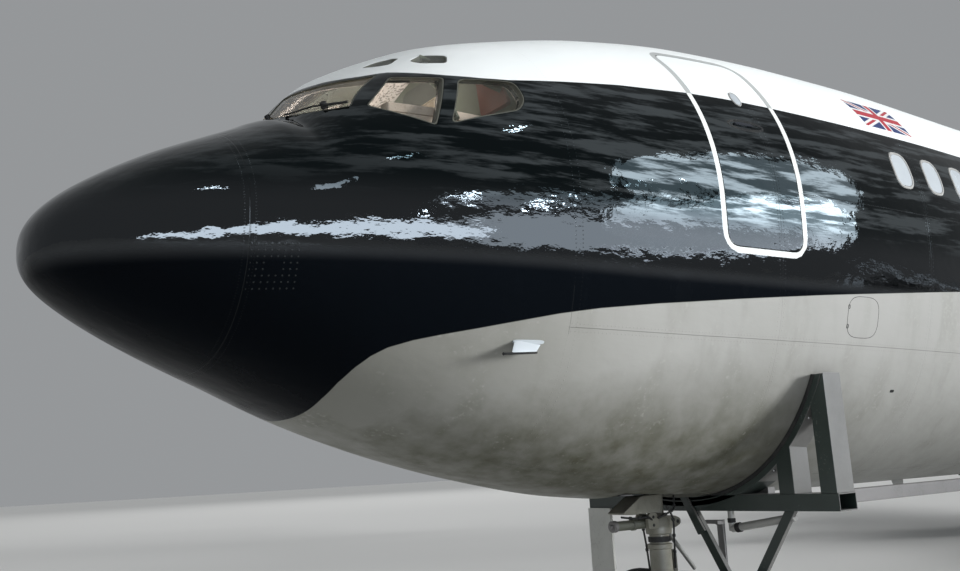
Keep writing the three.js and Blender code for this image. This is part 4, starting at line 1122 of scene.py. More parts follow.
def dials(x, y_range, z_range, counts, radius, lean):
    """Instrument faces in rows: a shallow turned cup for each, and a bright ring round it."""
    faces, rings = [], []
    for y in np.linspace(*y_range, counts[0]):
        for z in np.linspace(*z_range, counts[1]):
            start, axis = (x + (z - z_range[0]) * lean, y, z), (1, 0, -lean)
            faces.append(turned([(0, radius * 0.9), (0.006, radius * 0.88)], start, axis, 16))
            ring = [(-0.002, radius * 0.86), (-0.002, radius), (0.012, radius), (0.012, radius * 0.86)]
            rings.append(turned(ring, start, axis, 16))
    return merge(*faces), merge(*rings)


def build_lining():
    """The cabin's lining, a thin wall inside the skin above the floor, cut away at the windows."""
    wall = make_mesh("lining", *shell(np.linspace(1.32, 3.06, 70), 0.085, 0.012, 160))
    room = box((1.31, -2, FLOOR), (3.07, 2, 2))
    cuts = [window_cutter(window, side, 0.012) for window in COCKPIT_WINDOWS for side in (-1, 1)]
    place_mesh("cockpit_lining", carve(carve(wall, [room], "INTERSECT"), cuts), lining)


def cabin_section(x, inset=0.1):
    """The cabin's cross-section at a distance, as (y, z) from the floor up one side and down the other."""
    angle = np.linspace(-np.pi, np.pi, 400)
    p = skin(np.full_like(angle, x), angle, inset)
    return even_steps(p[p[:, 2] > FLOOR + 0.01][:, 1:], 40)


CABIN = np.array([1.33, 2.2, 3.07])
SEAT_PLACE = 0.56


def build_cabin_ends():
    """Floor, bulkheads, the russet panels beside the door, and the door with its knob."""
    half = [skin(np.array([x]), np.array([np.pi / 2]), 0.1)[0, 1] for x in CABIN]
    plan = [(x, -y) for x, y in zip(CABIN, half)] + [(x, y) for x, y in zip(CABIN[::-1], half[::-1])]
    place("cockpit_floor", prism(plan, "xy", FLOOR, FLOOR + 0.012), panel_grey, bevel=0.003)
    place("rear_bulkhead", prism(cabin_section(3.03), "yz", 3.03, 3.05), cabin_green)
    place("front_bulkhead", prism(cabin_section(1.36, 0.11), "yz", 1.34, 1.36), dark_gap,
          slot="interior_panel")
    trim = [prism(rounded([(s * 1.12, 0.5), (s * 0.78, 0.5), (s * 0.72, 0.9), (s * 0.92, 0.9)], 0.05),
                  "yz", 2.985, 3.025) for s in (-1, 1)]
    place("bulkhead_panels", trim, russet_trim, bevel=0.01)
    leaf = rounded([(-0.34, FLOOR + 0.03), (0.34, FLOOR + 0.03), (0.34, 1.1), (-0.34, 1.1)], 0.08)
    knob = rod((2.99, 0.24, 0.3), (2.96, 0.24, 0.3), 0.03)
    place("cockpit_door", [prism(leaf, "yz", 3.0, 3.028), knob], panel_grey, bevel=0.006)


def build_instruments():
    """Instrument panel with its hood and dials, and the pedestal with its levers."""
    panel = [(1.62, FLOOR + 0.004), (1.78, FLOOR + 0.004), (1.9, 0.12), (1.62, 0.12)]
    place("instrument_panel_body", prism(panel, "xz", -0.85, 0.85), panel_grey,
          replaces=["instrument_panel"], bevel=0.01)
    hood = rounded([(1.64, 0.12), (1.9, 0.115), (1.95, 0.15), (1.945, 0.215), (1.68, 0.215)], 0.03)
    place("glareshield", prism(hood, "xz", -0.85, 0.85), dark_gap, slot="interior_panel", bevel=0.012)
    faces, rings = dials(1.838, (-0.74, 0.74), (-0.16, 0.04), (11, 3), 0.055, 0.3)
    place("dial_faces", faces, dial_face)
    place("dial_rings", rings, panel_grey)
    column = rounded([(1.85, FLOOR), (2.5, FLOOR), (2.5, -0.16), (2.1, -0.05), (1.88, -0.12)], 0.04)
    place("pedestal", prism(column, "xz", -0.17, 0.17), panel_grey, bevel=0.012)
    levers = []
    for y in (-0.1, -0.05, 0, 0.05, 0.1):
        levers.append(rod((2.2, y, -0.12), (2.14, y, 0.1), 0.009, 10))
        levers.append(rod((2.14, y - 0.02, 0.11), (2.14, y + 0.02, 0.11), 0.018, 12))
    place("throttle_levers", levers, cabin_cream)


def build_yokes():
    """Two control columns, each with an open wheel and the boss that it turns on."""
    bend = np.linspace(-0.35 * np.pi, 1.35 * np.pi, 28)
    yokes = []
    for y in (-SEAT_PLACE, SEAT_PLACE):
        yokes.append(rod((1.95, y, FLOOR), (2.06, y, 0.02), 0.022, 14))
        wheel = np.stack([2.07 + 0 * bend, y + 0.17 * np.cos(bend), 0.06 - 0.1 * np.sin(bend)], -1)
        yokes.append(swept(wheel, 0.014, 10))
        yokes.append(rod((2.05, y, 0.03), (2.09, y, 0.03), 0.035, 16))
    place("control_yokes", yokes, dial_face)


def build_cabin_side(side, hand):
    """Ledge and console along the wall, a frame with its rail, and the pilot's seat."""
    ledges = []
    for inner, wall, low, high in ((1.0, 1.09, 0.25, 0.315), (1.02, 1.1, FLOOR + 0.01, 0.245)):
        plan = [(1.98, inner), (2.98, inner + 0.08), (2.98, 1.2), (2.4, 1.17), (1.98, wall)]
        ledges.append(prism(rounded([(x, side * y) for x, y in plan], 0.02), "xy", low, high))
    place(f"side_console_{hand}", ledges, cabin_cream, bevel=0.006)
    frame_bar = swept(skin(np.full(16, 2.47), np.linspace(0.12, 1.1, 16) * side, 0.13), 0.02, 10)
    rail = swept([(2.45, side * 0.78, 0.86), (2.7, side * 0.92, 0.76), (2.98, side * 1.05, 0.62)], 0.024, 12)
    place(f"cabin_frames_{hand}", [frame_bar, rail], cabin_green)
    build_seat(side * SEAT_PLACE, hand)


def build_overhead():
    """Overhead panel with its switches, and the racks ahead of the rear bulkhead."""
    switches = []
    for x in np.linspace(1.98, 2.5, 8):
        crown = outline(np.array([x]))[0][0]
        for y in np.linspace(-0.24, 0.24, 7):
            switches.append(rod((x, y, crown - 0.155), (x, y, crown - 0.185), 0.008, 8))
    board = [(1.92, 0.65), (2.56, 0.97), (2.56, 1.01), (1.92, 0.69)]
    place("overhead_panel", prism(board, "xz", -0.3, 0.3), cabin_green, bevel=0.008)
    place("overhead_switches", switches, dial_face)
    racks = [prism(rounded([(front, FLOOR), (2.97, FLOOR), (2.97, high), (2.8, high)], 0.03), "xz", near, far)
             for front, high, near, far in ((2.72, 0.62, 0.72, 1.0), (2.76, 0.4, -1.0, -0.84))]
    place("engineers_rack", racks, cabin_green, bevel=0.01)


def build_cockpit():
    """The cabin behind the glass, from its lining to its overhead panel."""
    build_lining()
    build_cabin_ends()
    build_instruments()
    build_yokes()
    for side, hand in SIDES:
        build_cabin_side(side, hand)
    build_overhead()


def build_seat(y, hand):
    """A pilot's seat: pedestal, pan, arms and two stuffed pads with sewn channels."""
    foot = rounded([(2.36, FLOOR + 0.004), (2.54, FLOOR + 0.004), (2.5, -0.08), (2.4, -0.08)], 0.02)
    pan = rounded([(2.22, -0.075), (2.7, -0.075), (2.74, -0.03), (2.74, 0.62), (2.715, 0.62), (2.7, -0.035),
                   (2.22, -0.035)], 0.012)
    arms = [swept([(2.7, y + a, 0.02), (2.66, y + a, 0.2), (2.6, y + a, 0.215), (2.4, y + a, 0.21)], 0.016,
                  10)
            for a in (-0.245, 0.245)]
    frame_parts = merge(prism(foot, "xz", y - 0.1, y + 0.1), prism(pan, "xz", y - 0.24, y + 0.24), *arms)
    place(f"seat_frame_{hand}", frame_parts, panel_grey, replaces=[f"pilot_seat_{hand}"], slot="seat_fabric",
          bevel=0.003)
    pads = (("cushion", (2.21, y - 0.235, -0.034), (2.66, y + 0.235, 0.055), 2),
            ("back", (2.622, y - 0.23, 0.06), (2.698, y + 0.23, 0.655), 0))
    for part, low, high, facing in pads:
        pad_shape = cushion(low, high, crown=0.35, seams=(-0.45, 0.0, 0.45), facing=facing)
        pad = place(f"seat_{part}_{hand}", pad_shape, seat_cloth, smooth=60)


# Wings, tailplanes and fin

AEROFOILS = {
    "wing": [(1.3, 14.41, 24.87, -1.69, 0.115), (7, 18.86, 25.4, -0.99, 0.1),
             (SPAN / 2, 30.33, 33.14, 0.815, 0.085)],
    "tailplane": [(0.06, 39.25, 44.1, 0.74, 0.1), (6.975, 44.61, LENGTH, 1.59, 0.09)],
    "fin": [(1.1, 35.2, 42.85, 0, 0.1), (FIN_TOP, 42, 44.75, 0, 0.09)],
}
SURFACES = {
    "wing": [("inner_flap", 2.35, 6.3, 0.86, 0.42), ("inner_aileron", 7.2, 8.9, 0.78, 0),
             ("outer_flap", 9.25, 15.0, 0.75, 0.32), ("outer_aileron", 15.3, 20.4, 0.76, 0)],
    "tailplane": [("elevator", 0.95, 6.5, 0.7, 0)],
    "fin": [("rudder", 2.1, 8.55, 0.7, 0)],
}
BLUNT = 0.008
SWING_GAP = 0.012


class Panel:
    """A wing, tailplane or fin whose outline runs straight between the rows of its table."""

    def __init__(self, kind, side):
        self.kind, self.side = kind, side
        self.table = np.array(AEROFOILS[kind], float).T

    def plan(self, span):
        """Front edge, rear edge, height and thickness at a place along the span."""
        return [np.interp(span, self.table[0], column) for column in self.table[1:]]

    def half(self, share, front, rear, thickness):
        """Half the thickness: the four-digit family's polynomial in the share of the chord."""
        s = share
        shape = 0.2969 * np.sqrt(s) - 0.126 * s - 0.3516 * s**2 + 0.2843 * s**3 - 0.1036 * s**4
        return 5 * shape * thickness * (rear - front) + BLUNT * s

    def at(self, x, span, height):
        """Points of the panel: the fin stands up, the others lie to their side."""
        x, span, height = np.broadcast_arrays(x, span, height)
        if self.kind == "fin":
            return np.stack([x, height, span], -1)
        return np.stack([x, self.side * span, height], -1)

    def rings(self, spans):
        """Sections of the panel: over the top from the nose to the blunt edge and back underneath."""
        s = (1 - np.cos(np.linspace(0, np.pi, 40))) / 2
        front, rear, rise, thickness = [v[:, None] for v in self.plan(spans)]
        x = front + (rear - front) * s
        h = self.half(s, front, rear, thickness)
        over = self.at(x, spans[:, None], rise + h)
        under = self.at(x[:, 1:], spans[:, None], (rise - h)[:, 1:])
        return np.concatenate([over, under[:, ::-1]], 1)

    def surface(self, row):
        """A hinged surface with a round nose, and the room cut for it."""
        _, start, stop, hinge, _ = row
        ends = []
        for span in (start, stop):
            front, rear, rise, thickness = self.plan(span)
            ends.append((self.at(front + (rear - front) * hinge, span, rise),
                         self.half(hinge, front, rear, thickness)))
        along = ends[1][0] - ends[0][0]
        along /= np.linalg.norm(along)
        aft = np.array([1.0, 0, 0]) - along * along[0]
        aft /= np.linalg.norm(aft)
        normal = np.cross(along, aft)
        leaf, room = [], []
        for i, (point, radius) in enumerate(ends):
            chord = self.reach(point, aft)
            nose = np.linspace(np.pi / 2, 3 * np.pi / 2, 20)
            r = radius * 0.97
            section = [(r * math.cos(a), r * math.sin(a)) for a in nose] + [(chord, -BLUNT), (chord, BLUNT)]
            leaf.append([point + aft * p + normal * n for p, n in section])
            lead = point + along * (1 if i else -1) * SWING_GAP
            room.append([lead + aft * p + normal * n for p, n in (
                (-radius - SWING_GAP, -1), (chord + 0.6, -1), (chord + 0.6, 1), (-radius - SWING_GAP, 1))])
        return tube_of(leaf), tube_of(room), ends, along, normal

    def reach(self, point, direction):
        """Distance from a point along a direction to the rear edge, found in a few steps."""
        distance = 0.0
        for _ in range(8):
            spot = point + direction * distance
            span = spot[2] if self.kind == "fin" else abs(spot[1])
            distance += (self.plan(span)[1] - spot[0]) / direction[0]
        return distance - BLUNT


def hinge_parts(row, ends, along, normal):
    """Pins at both ends of a surface; a dropped hinge also gets a lug on the leaf and a wing bracket."""
    drop = row[4]
    leaf_side, wing_side = [], []
    for i, (point, _) in enumerate(ends):
        out = along * (1 if i else -1)
        hung = point - normal * drop * np.sign(normal[2] if abs(normal[2]) > 0.3 else 1)
        leaf_side.append(rod(hung - out * 0.05, hung + out * 0.011, 0.024, 16, 0.002))
        if drop:
            low = hung - (point - hung) * 0.06
            leaf_side.append(beam(point - out * 0.025, low - out * 0.025, 0.046, 0.046, along))
            wing_side.append(beam(point + out * 0.037, low + out * 0.037, 0.046, 0.046, along))
            wing_side.append(rod(hung + out * 0.0125, hung + out * 0.062, 0.034, 16))
    return leaf_side, wing_side


def build_panel(kind, side, suffix, finish, stations):
    """A wing, tailplane or fin with its hinged surfaces, their pins and brackets, and the room for them."""
    panel = Panel(kind, side)
    rooms = []
    for row in SURFACES[kind]:
        leaf, room, ends, along, normal = panel.surface(row)
        name = f"{row[0]}{suffix}"
        place(f"{name}_skin", leaf, finish, body=f"{name}_unit", replaces=[name], smooth=40)
        on_leaf, on_wing = hinge_parts(row, ends, along, normal)
        place(f"{name}_pins", on_leaf, bright_steel, body=f"{name}_unit")
        if on_wing:
            place(f"{name}_brackets", on_wing, grey_paint)
        rooms.append(room)
    mesh = carve(make_mesh(kind, *tube_of(panel.rings(stations))), rooms, smooth=30)
    place_mesh(f"{kind}{suffix}_skin", mesh, finish, replaces=[f"{kind}{suffix}"])


TIP_LAMP = [(0, 0.001), (0.02, 0.04), (0.1, 0.06), (0.3, 0.05), (0.5, 0.001)]
FIN_PROBE = [(0, 0.001), (0.02, 0.012), (0.5, 0.024), (0.6, 0.045), (1.5, 0.044)]


def build_wings_and_tail():
    """Wings with their tip lamps, tailplanes, fin with its probe, keel fin and belly fairing."""
    for side, hand in SIDES:
        build_panel("wing", side, f"_{hand}", wing_metal, np.array([1.3, 3, 5, 7, 10, 14, 18, 21, SPAN / 2]))
        build_panel("tailplane", side, f"_{hand}", wing_metal, np.array([0.06, 2, 4, 6.975]))
        front, _, rise, _ = Panel("wing", side).plan(SPAN / 2)
        lamp = (front + 0.04, side * (SPAN / 2 - 0.1), rise + 0.02)
        place(f"tip_lamp_{hand}", turned(TIP_LAMP, lamp, (1, 0, 0), 24), lamp_red if side < 0 else lamp_green)
    build_panel("fin", 1, "", fin_paint, np.array([1.1, 4, 7, FIN_TOP]))
    place("fin_probe", turned(FIN_PROBE, (41.1, 0, 9.05), (1, 0, 0), 24), bright_steel, slot="fin_paint")
    keel = [(40.4, 0.2), (42.6, 0.6), (42.75, -0.35), (42.6, -0.42), (42.1, -0.42)]
    place("keel_fin", prism(rounded(keel, 0.08), "xz", -0.049, 0.049), wing_metal, slot="fuselage_paint",
          bevel=0.02)
    build_belly_fairing()


def build_belly_fairing():
    """A fairing under the wing: superellipse halves whose width grows and shrinks with the distance."""
    x = np.linspace(14.32, 26.16, 90)
    width = smooth_curve(*np.array([(14.3, 15.6, 24.3, 26.2), (0.27, 1.3, 1.3, 0.32)]), x)
    keel = -2.06 - 0.44 * smooth_curve(*np.array([(14.3, 15.8, 24.0, 26.2), (0, 0.98, 0.98, 0)]), x)
    angle = np.linspace(0, np.pi, 41)
    c, s = np.cos(angle), np.sin(angle)
    y = width[:, None] * squared(c, 0.6)
    z = -1.7 + (keel[:, None] + 1.7) * s**0.6
    rings = np.stack([x[:, None] + 0 * y, y, z], -1)
    place("belly_fairing_skin", tube_of(rings), wing_metal, replaces=["belly_fairing"], smooth=50)
    corners = np.array([(0, 0), (0.34, 0), (0.34, 0.2), (0, 0.2)])
    vents = [prism(rounded(corners + [v, w], 0.05), "xy", -2.503, -2.49)
             for v in (16.4, 17.2, 18.0) for w in (-0.62, 0.42)]
    place("fairing_vents", vents, dark_gap)


def build_pylon(number):
    """A pylon: lens sections, one for each height, run from the pod's top to the wing's underside."""
    y, lip, height = PODS[number]
    front, _, rise, _ = Panel("wing", 1).plan(abs(y))
    levels = np.linspace(0, 1, 14)[:, None]
    low, high = height + 0.46, rise - 0.02
    nose = np.interp(levels, (0, 0.35, 1), (lip + 1.15, lip + 1.7, front - 0.12))
    tail = np.interp(levels, (0, 1), (lip + 4.1, front + 2.4))
    angle = full_turn(48)
    share = (1 - np.cos(angle)) / 2
    half = 0.128 * squared(np.sin(angle), 0.8) * (1.1 - 0.35 * share)
    x = nose + (tail - nose) * share
    z = low + (high - low) * levels + 0 * x
    rings = np.stack([x, y + half + 0 * x, z], -1)
    place(f"pylon_{number}_skin", tube_of(rings), pod_metal, replaces=[f"pylon_{number}"], smooth=40)


# Engines

PODS = {1: (-14.2, 21.1, -1.32), 2: (-8.26, 16.45, -2.02), 3: (8.26, 16.45, -2.02), 4: (14.2, 21.1, -1.32)}
POD_OUTSIDE = [(0, 0.6), (0.012, 0.62), (0.06, 0.645), (0.2, 0.672), (0.5, 0.705), (1.0, 0.727),
               (1.6, 0.735), (2.4, 0.722), (3.1, 0.69), (3.9, 0.62), (4.6, 0.53), (5.3, 0.42)]
POD_INSIDE = [(1.05, 0.5), (0.6, 0.505), (0.25, 0.515), (0.1, 0.535), (0.03, 0.565), (0, 0.6)]
EXHAUST = [(5.3, 0.42), (5.3, 0.4), (5.0, 0.38), (4.5, 0.36), (4.5, 0.2), (5.2, 0.05), (5.25, 0.001)]
BLADES = 26


def blades(centre, root, tip, chord, twist, count, thickness=0.006):
    """Blades round an axis: each is a thin lens whose chord turns from root to tip."""
    parts = []
    section = np.array([(-0.5, 0), (0, 1), (0.5, 0), (0, -1)])
    for a in full_turn(count):
        radial, tangent = np.array([0, math.sin(a), math.cos(a)]), np.array([0, math.cos(a), -math.sin(a)])
        rings = []
        for t in np.linspace(0, 1, 5):
            pitch = twist[0] + (twist[1] - twist[0]) * t
            along = np.array([math.cos(pitch), 0, 0]) + tangent * math.sin(pitch)
            across = np.cross(radial, along)
            middle = centre + radial * (root + (tip - root) * t)
            rings.append([middle + along * chord * u + across * thickness * v for u, v in section])
        parts.append(tube_of(rings))
    return merge(*parts)


SPINNER = [(0.42, 0.001), (0.44, 0.03), (0.5, 0.085), (0.6, 0.135), (0.7, 0.16), (0.9, 0.165),
           (1.03, 0.16), (1.03, 0.001)]
TAIL_CONE = [(4.5, 0.2), (4.8, 0.19), (5.1, 0.12), (5.24, 0.03), (5.25, 0.001)]


def build_engine(number):
    """An engine: cowl, polished lip, intake floor, guide vanes, exhaust cone, latches and the rotor."""
    y, lip, height = PODS[number]
    start = np.array([lip, y, height])
    axis = (1, 0, 0)
    cowl = np.concatenate([eased(POD_OUTSIDE[2:], 60), EXHAUST])
    place(f"nacelle_{number}_cowl", turned(cowl, start, axis, 72), pod_metal, replaces=[f"nacelle_{number}"])
    lip_profile = eased(POD_INSIDE + POD_OUTSIDE[1:4], 44)
    place(f"intake_lip_{number}", turned(lip_profile, start, axis, 72), lip_metal)
    floor = [(1.04, 0.5), (1.04, 0.17), (1.05, 0.001)]
    place(f"intake_floor_{number}", turned(floor, start, axis, 48), dark_gap)
    vanes = blades(start + [0.97, 0, 0], 0.165, 0.497, 0.09, (0.2, 0.1), 23, 0.005)
    place(f"guide_vanes_{number}", vanes, rotor_metal)
    cone = merge(turned(eased(TAIL_CONE, 24), start, axis, 36),
                 blades(start + [4.62, 0, 0], 0.19, 0.37, 0.16, (0.1, 0.1), 12, 0.012))
    place(f"exhaust_cone_{number}", cone, burnt_metal)
    latches = [turned([(0, 0.03), (0.012, 0.028), (0.014, 0.001)],
                      start + [v, 0.735 * math.sin(a), 0.735 * math.cos(a)],
                      (0, math.sin(a), math.cos(a)), 12) for v in (1.3, 1.9) for a in (2.6, 2.9, 3.38, 3.68)]
    place(f"cowl_latches_{number}", latches, bright_steel, slot="nacelle_metal")
    fan = merge(turned(SPINNER, start, axis, 40),
                blades(start + [0.8, 0, 0], 0.15, 0.488, 0.12, (0.5, 1.0), BLADES))
    place(f"rotor_{number}_blades", fan, rotor_metal, body=f"rotor_{number}_unit",
          replaces=[f"rotor_{number}"])


# Landing gear

NOSE_GEAR = {"x": 5.33, "tyre": 0.495, "width": 0.28, "track": 0.26, "axle": 0.045}
MAIN_GEAR = {"x": 23.31, "y": 3.365, "tyre": 0.585, "width": 0.39, "track": 0.44, "axle": 0.07,
             "base": 0.71}


def tyre(centre, radius, width):
    """A tyre's section, from bead over the sidewall and grooved tread to the other bead, turned about y."""
    rim = radius * 0.56
    half = [(-0.36, rim), (-0.5, rim + 0.03), (-0.5, radius * 0.8), (-0.47, radius * 0.9),
            (-0.4, radius * 0.965), (-0.3, radius * 0.993)]
    groove = [(-0.2, 1), (-0.195, 0.975), (-0.165, 0.975), (-0.16, 1), (-0.05, 1), (-0.045, 0.975),
              (-0.015, 0.975)]
    left = eased([(u * width, r) for u, r in half], 26).tolist()
    left += [(u * width, r * radius) for u, r in groove]
    profile = left + [(-u, r) for u, r in reversed(left)]
    return turned(profile, centre, (0, 1, 0), 72)


def hub(centre, out, radius, width):
    """A wheel half: a dished disc with a raised rim and a cap, turned about the axle."""
    rim = radius * 0.56
    w = width / 2
    profile = [(-w * 0.7, rim * 0.99), (w * 0.86, rim * 1.0), (w * 0.92, rim * 1.06),
               (w * 0.86, rim * 1.07), (w * 0.8, rim * 0.92), (w * 0.3, rim * 0.86),
               (w * 0.22, rim * 0.5), (w * 0.5, rim * 0.42), (w * 0.62, rim * 0.3),
               (w * 0.85, rim * 0.26), (w * 0.9, rim * 0.2), (w * 0.9, 0.001)]
    return turned(eased(profile, 60), centre, (0, out, 0), 48)


def bolts(centre, out, ring, count, size, height):
    """A ring of round heads on a hub."""
    parts = []
    for a in full_turn(count):
        foot = centre + [ring * math.cos(a), 0, ring * math.sin(a)]
        parts.append(rod(foot, foot + [0, out * height, 0], size, 8))
    return merge(*parts)


def build_wheels(name, centre, gear, body, node):
    """A twin wheel: two tyres, four wheel halves, bolts and the axle through them."""
    centre = np.asarray(centre, float)
    tyres, hubs = [], []
    for side in (-1, 1):
        middle = centre + np.array([0, side * gear["track"], 0])
        tyres.append(tyre(middle, gear["tyre"], gear["width"]))
        hubs.append(hub(middle, side, gear["tyre"], gear["width"]))
        hubs.append(hub(middle, -side, gear["tyre"], gear["width"]))
        face = middle + np.array([0, side * gear["width"] * 0.1, 0])
        hubs.append(bolts(face, side, gear["tyre"] * 0.42, 12, 0.016, 0.02))
    reach = gear["track"] + gear["width"] * 0.3
    hubs.append(rod(centre - [0, reach, 0], centre + [0, reach, 0], gear["axle"] * 0.98, 24))
    place(f"{name}_tyres", tyres, tyre_rubber, body=body, replaces=[node])
    place(f"{name}_hubs", hubs, hub_paint, body=body, slot="gear_steel")


def clamps(path, count, radius):
    """Small bands round a pipe, spread evenly along it."""
    path = np.asarray(path, float)
    spots = np.linspace(0, len(path) - 1, count + 2)[1:-1]
    parts = []
    for spot in spots:
        i = min(int(spot), len(path) - 2)
        d = (path[i + 1] - path[i]) / np.linalg.norm(path[i + 1] - path[i])
        middle = path[i] + (path[i + 1] - path[i]) * (spot - i)
        parts.append(rod(middle - d * 0.012, middle + d * 0.012, radius, 12, 0.002))
    return parts


def piping(paths, radius, count, band):
    """Pipes along smooth paths, with as many clamps as stated spread along each."""
    return merge(*[swept(path, radius) for path in paths],
                 *[part for path in paths for part in clamps(path, count, band)])


# The nose leg's cylinder from its foot up: height and radius
NOSE_CYLINDER = [(-3.115, 0.1), (-3.11, 0.106), (-3.065, 0.106), (-3.06, 0.099), (-2.875, 0.097),
                 (-2.87, 0.112), (-2.832, 0.112), (-2.826, 0.088), (-2.75, 0.087), (-2.742, 0.115),
                 (-2.69, 0.118), (-2.676, 0.112), (-2.64, 0.104), (-2.6, 0.088), (-2.572, 0.066),
                 (-2.56, 0.058), (-1.55, 0.056)]


def build_nose_casting(x):
    """Cylinder, brace, lug, the actuator's clevis plates and the link's foot, with their pins and bolts."""
    foot_height = NOSE_CYLINDER[0][0]
    lug = rounded([(x - 0.1, -2.7), (x + 0.05, -2.72), (x + 0.2, -2.7), (x + 0.262, -2.672),
                   (x + 0.262, -2.628), (x + 0.2, -2.6), (x + 0.05, -2.585), (x - 0.08, -2.6)], 0.03)
    clevis = rounded([(x - 0.206, -2.69), (x - 0.07, -2.69), (x - 0.07, -2.6), (x - 0.1, -2.552),
                      (x - 0.18, -2.552), (x - 0.206, -2.6)], 0.025)
    foot = rounded([(x + 0.094, -3.1), (x + 0.14, -3.08), (x + 0.14, -2.9), (x + 0.094, -2.88)], 0.012)
    casting = merge(
        turned([(z - foot_height, r) for z, r in NOSE_CYLINDER], (x, 0, foot_height), (0, 0, 1), 48),
        rod((x - 0.05, 0, -2.2), (x - 0.6, 0, -1.6), 0.045, 20), prism(lug, "xz", -0.034, 0.034),
        prism(clevis, "xz", 0.046, 0.082), prism(clevis, "xz", -0.082, -0.046),
        prism(foot, "xz", -0.06, 0.06))
    place("nose_leg_casting", casting, pale_gear, replaces=["nose_leg"], bevel=0.004)
    band = turned([(0, 0.09), (0.002, 0.1005), (0.045, 0.1005), (0.047, 0.09)], (x, 0, -2.815), (0, 0, 1), 40)
    pins = [rod((x - 0.14, -0.088, z), (x - 0.14, 0.088, z), 0.014, 12) for z in (-2.59, -2.66)]
    lug_pin = rod((x + 0.222, -0.04, -2.651), (x + 0.222, 0.04, -2.651), 0.017, 16)
    heads = [rod((x + 0.14, y, z), (x + 0.146, y, z), 0.009, 10)
             for y in (-0.035, 0.035) for z in (-3.06, -2.99, -2.92)]
    place("nose_leg_bands", [band, *pins, lug_pin, *heads], dark_gap, slot="gear_steel")


def build_steering_actuator(x):
    """The actuator ahead of the leg: barrel, collar, rod and end, and the shroud over it."""
    def bar(near, far, radius, around, z=-2.645):
        return rod((x - near, 0, z), (x - far, 0, z), radius, around)
    shaft = merge(bar(0.17, 0.53, 0.042, 28), bar(0.3, 0.34, 0.05, 28), bar(0.2, 0.1, 0.034, 24, -2.64))
    place("steering_actuator", shaft, gear_paint)
    place("actuator_end", [bar(0.528, 0.575, 0.05, 28), bar(0.575, 0.6, 0.02, 16)], pale_steel)
    shroud = rounded([(5.04, -2.4), (5.27, -2.4), (5.265, -2.548), (4.9, -2.555), (4.8, -2.54)], 0.03)
    place("steering_shroud", prism(shroud, "xz", -0.1, 0.1), pale_gear, bevel=0.01)


def build_nose_pipes(x):
    """Hydraulic pipes round the nose leg, and the stay behind it."""
    paths = [
        [(4.78, -0.1, -2.565), (4.95, -0.105, -2.585), (5.1, -0.1, -2.585), (5.19, -0.07, -2.62)],
        [(x + 0.03, -0.09, -2.5), (x + 0.09, -0.1, -2.62), (x + 0.11, -0.075, -2.8), (x + 0.1, -0.07, -3.05)],
        [(x - 0.05, 0.07, -2.35), (x - 0.1, 0.1, -2.6), (x - 0.085, 0.085, -2.85), (x - 0.07, 0.08, -3.06)],
        [(x + 0.2, -0.03, -2.42), (x + 0.16, -0.06, -2.52), (x + 0.05, -0.1, -2.56), (x - 0.1, -0.1, -2.6)]]
    pipes = piping([eased(path) for path in paths], 0.009, 3, 0.015)
    place("nose_leg_pipes", pipes, dark_gap, slot="gear_steel")
    stay = merge(rod((5.44, 0, -2.735), (5.76, 0, -3.09), 0.02, 16),
                 rod((5.42, -0.035, -2.72), (5.42, 0.035, -2.72), 0.026, 16))
    place("nose_leg_stay", stay, grey_paint, slot="gear_steel")


def build_nose_strut(x, axle):
    """The steered piston with its collars and the axle's barrel, and the torque links that turn it."""
    strut = merge(
        rod((x, 0, axle - 0.04), (x, 0, -3.12), 0.069, 36),
        turned([(0, 0.06), (0.01, 0.088), (0.09, 0.088), (0.1, 0.07)], (x, 0, -3.22), (0, 0, 1), 36),
        turned([(0, 0.075), (0.02, 0.098), (0.18, 0.098), (0.2, 0.075)], (x, -0.1, axle), (0, 1, 0), 36),
        rod((x, 0, axle - 0.105), (x, 0, axle - 0.06), 0.03, 16))
    place("nose_strut_piston", strut, bright_steel, body="nose_steering_unit", replaces=["nose_strut"])
    elbow = np.array([x + 0.4, 0, (-3.21 + axle) / 2])
    arms = []
    for start in (np.array([x + 0.06, 0, -3.2]), np.array([x + 0.07, 0, axle])):
        d = elbow - start
        normal = np.array([-d[2], 0, d[0]]) / np.linalg.norm(d)
        for side in (-1, 1):
            foot, tip = start + [0, side * 0.055, 0], elbow + [0, side * 0.022, 0]
            arms.append(beam(foot, tip, 0.022, 0.05, normal))
        web = start + d * 0.45
        arms.append(beam(web - [0, 0.035, 0], web + [0, 0.035, 0], 0.02, 0.05, normal))
    links = merge(*arms, rod(elbow - [0, 0.045, 0], elbow + [0, 0.045, 0], 0.024, 16),
                  rod((x + 0.06, -0.07, -3.2), (x + 0.06, 0.07, -3.2), 0.026, 16))
    place("torque_links", links, gear_paint, body="nose_steering_unit", slot="gear_steel", bevel=0.003)


def build_nose_gear():
    """The nose leg from its wheels to its casting, with the actuator ahead of it."""
    x, axle = NOSE_GEAR["x"], GROUND + NOSE_GEAR["tyre"]
    build_wheels("nose_wheel", (x, 0, axle), NOSE_GEAR, "nose_wheels_unit", "nose_wheels")
    build_nose_casting(x)
    build_steering_actuator(x)
    build_nose_pipes(x)
    build_nose_strut(x, axle)


# A main leg's cylinder with its collars: height above its lower end, and radius
MAIN_CYLINDER = [(0, 0.12), (0.02, 0.15), (0.16, 0.15), (0.17, 0.142), (1.1, 0.14), (1.11, 0.15),
                 (1.2, 0.15), (1.22, 0.14), (1.7, 0.13)]
TRUCK_END = 0.118


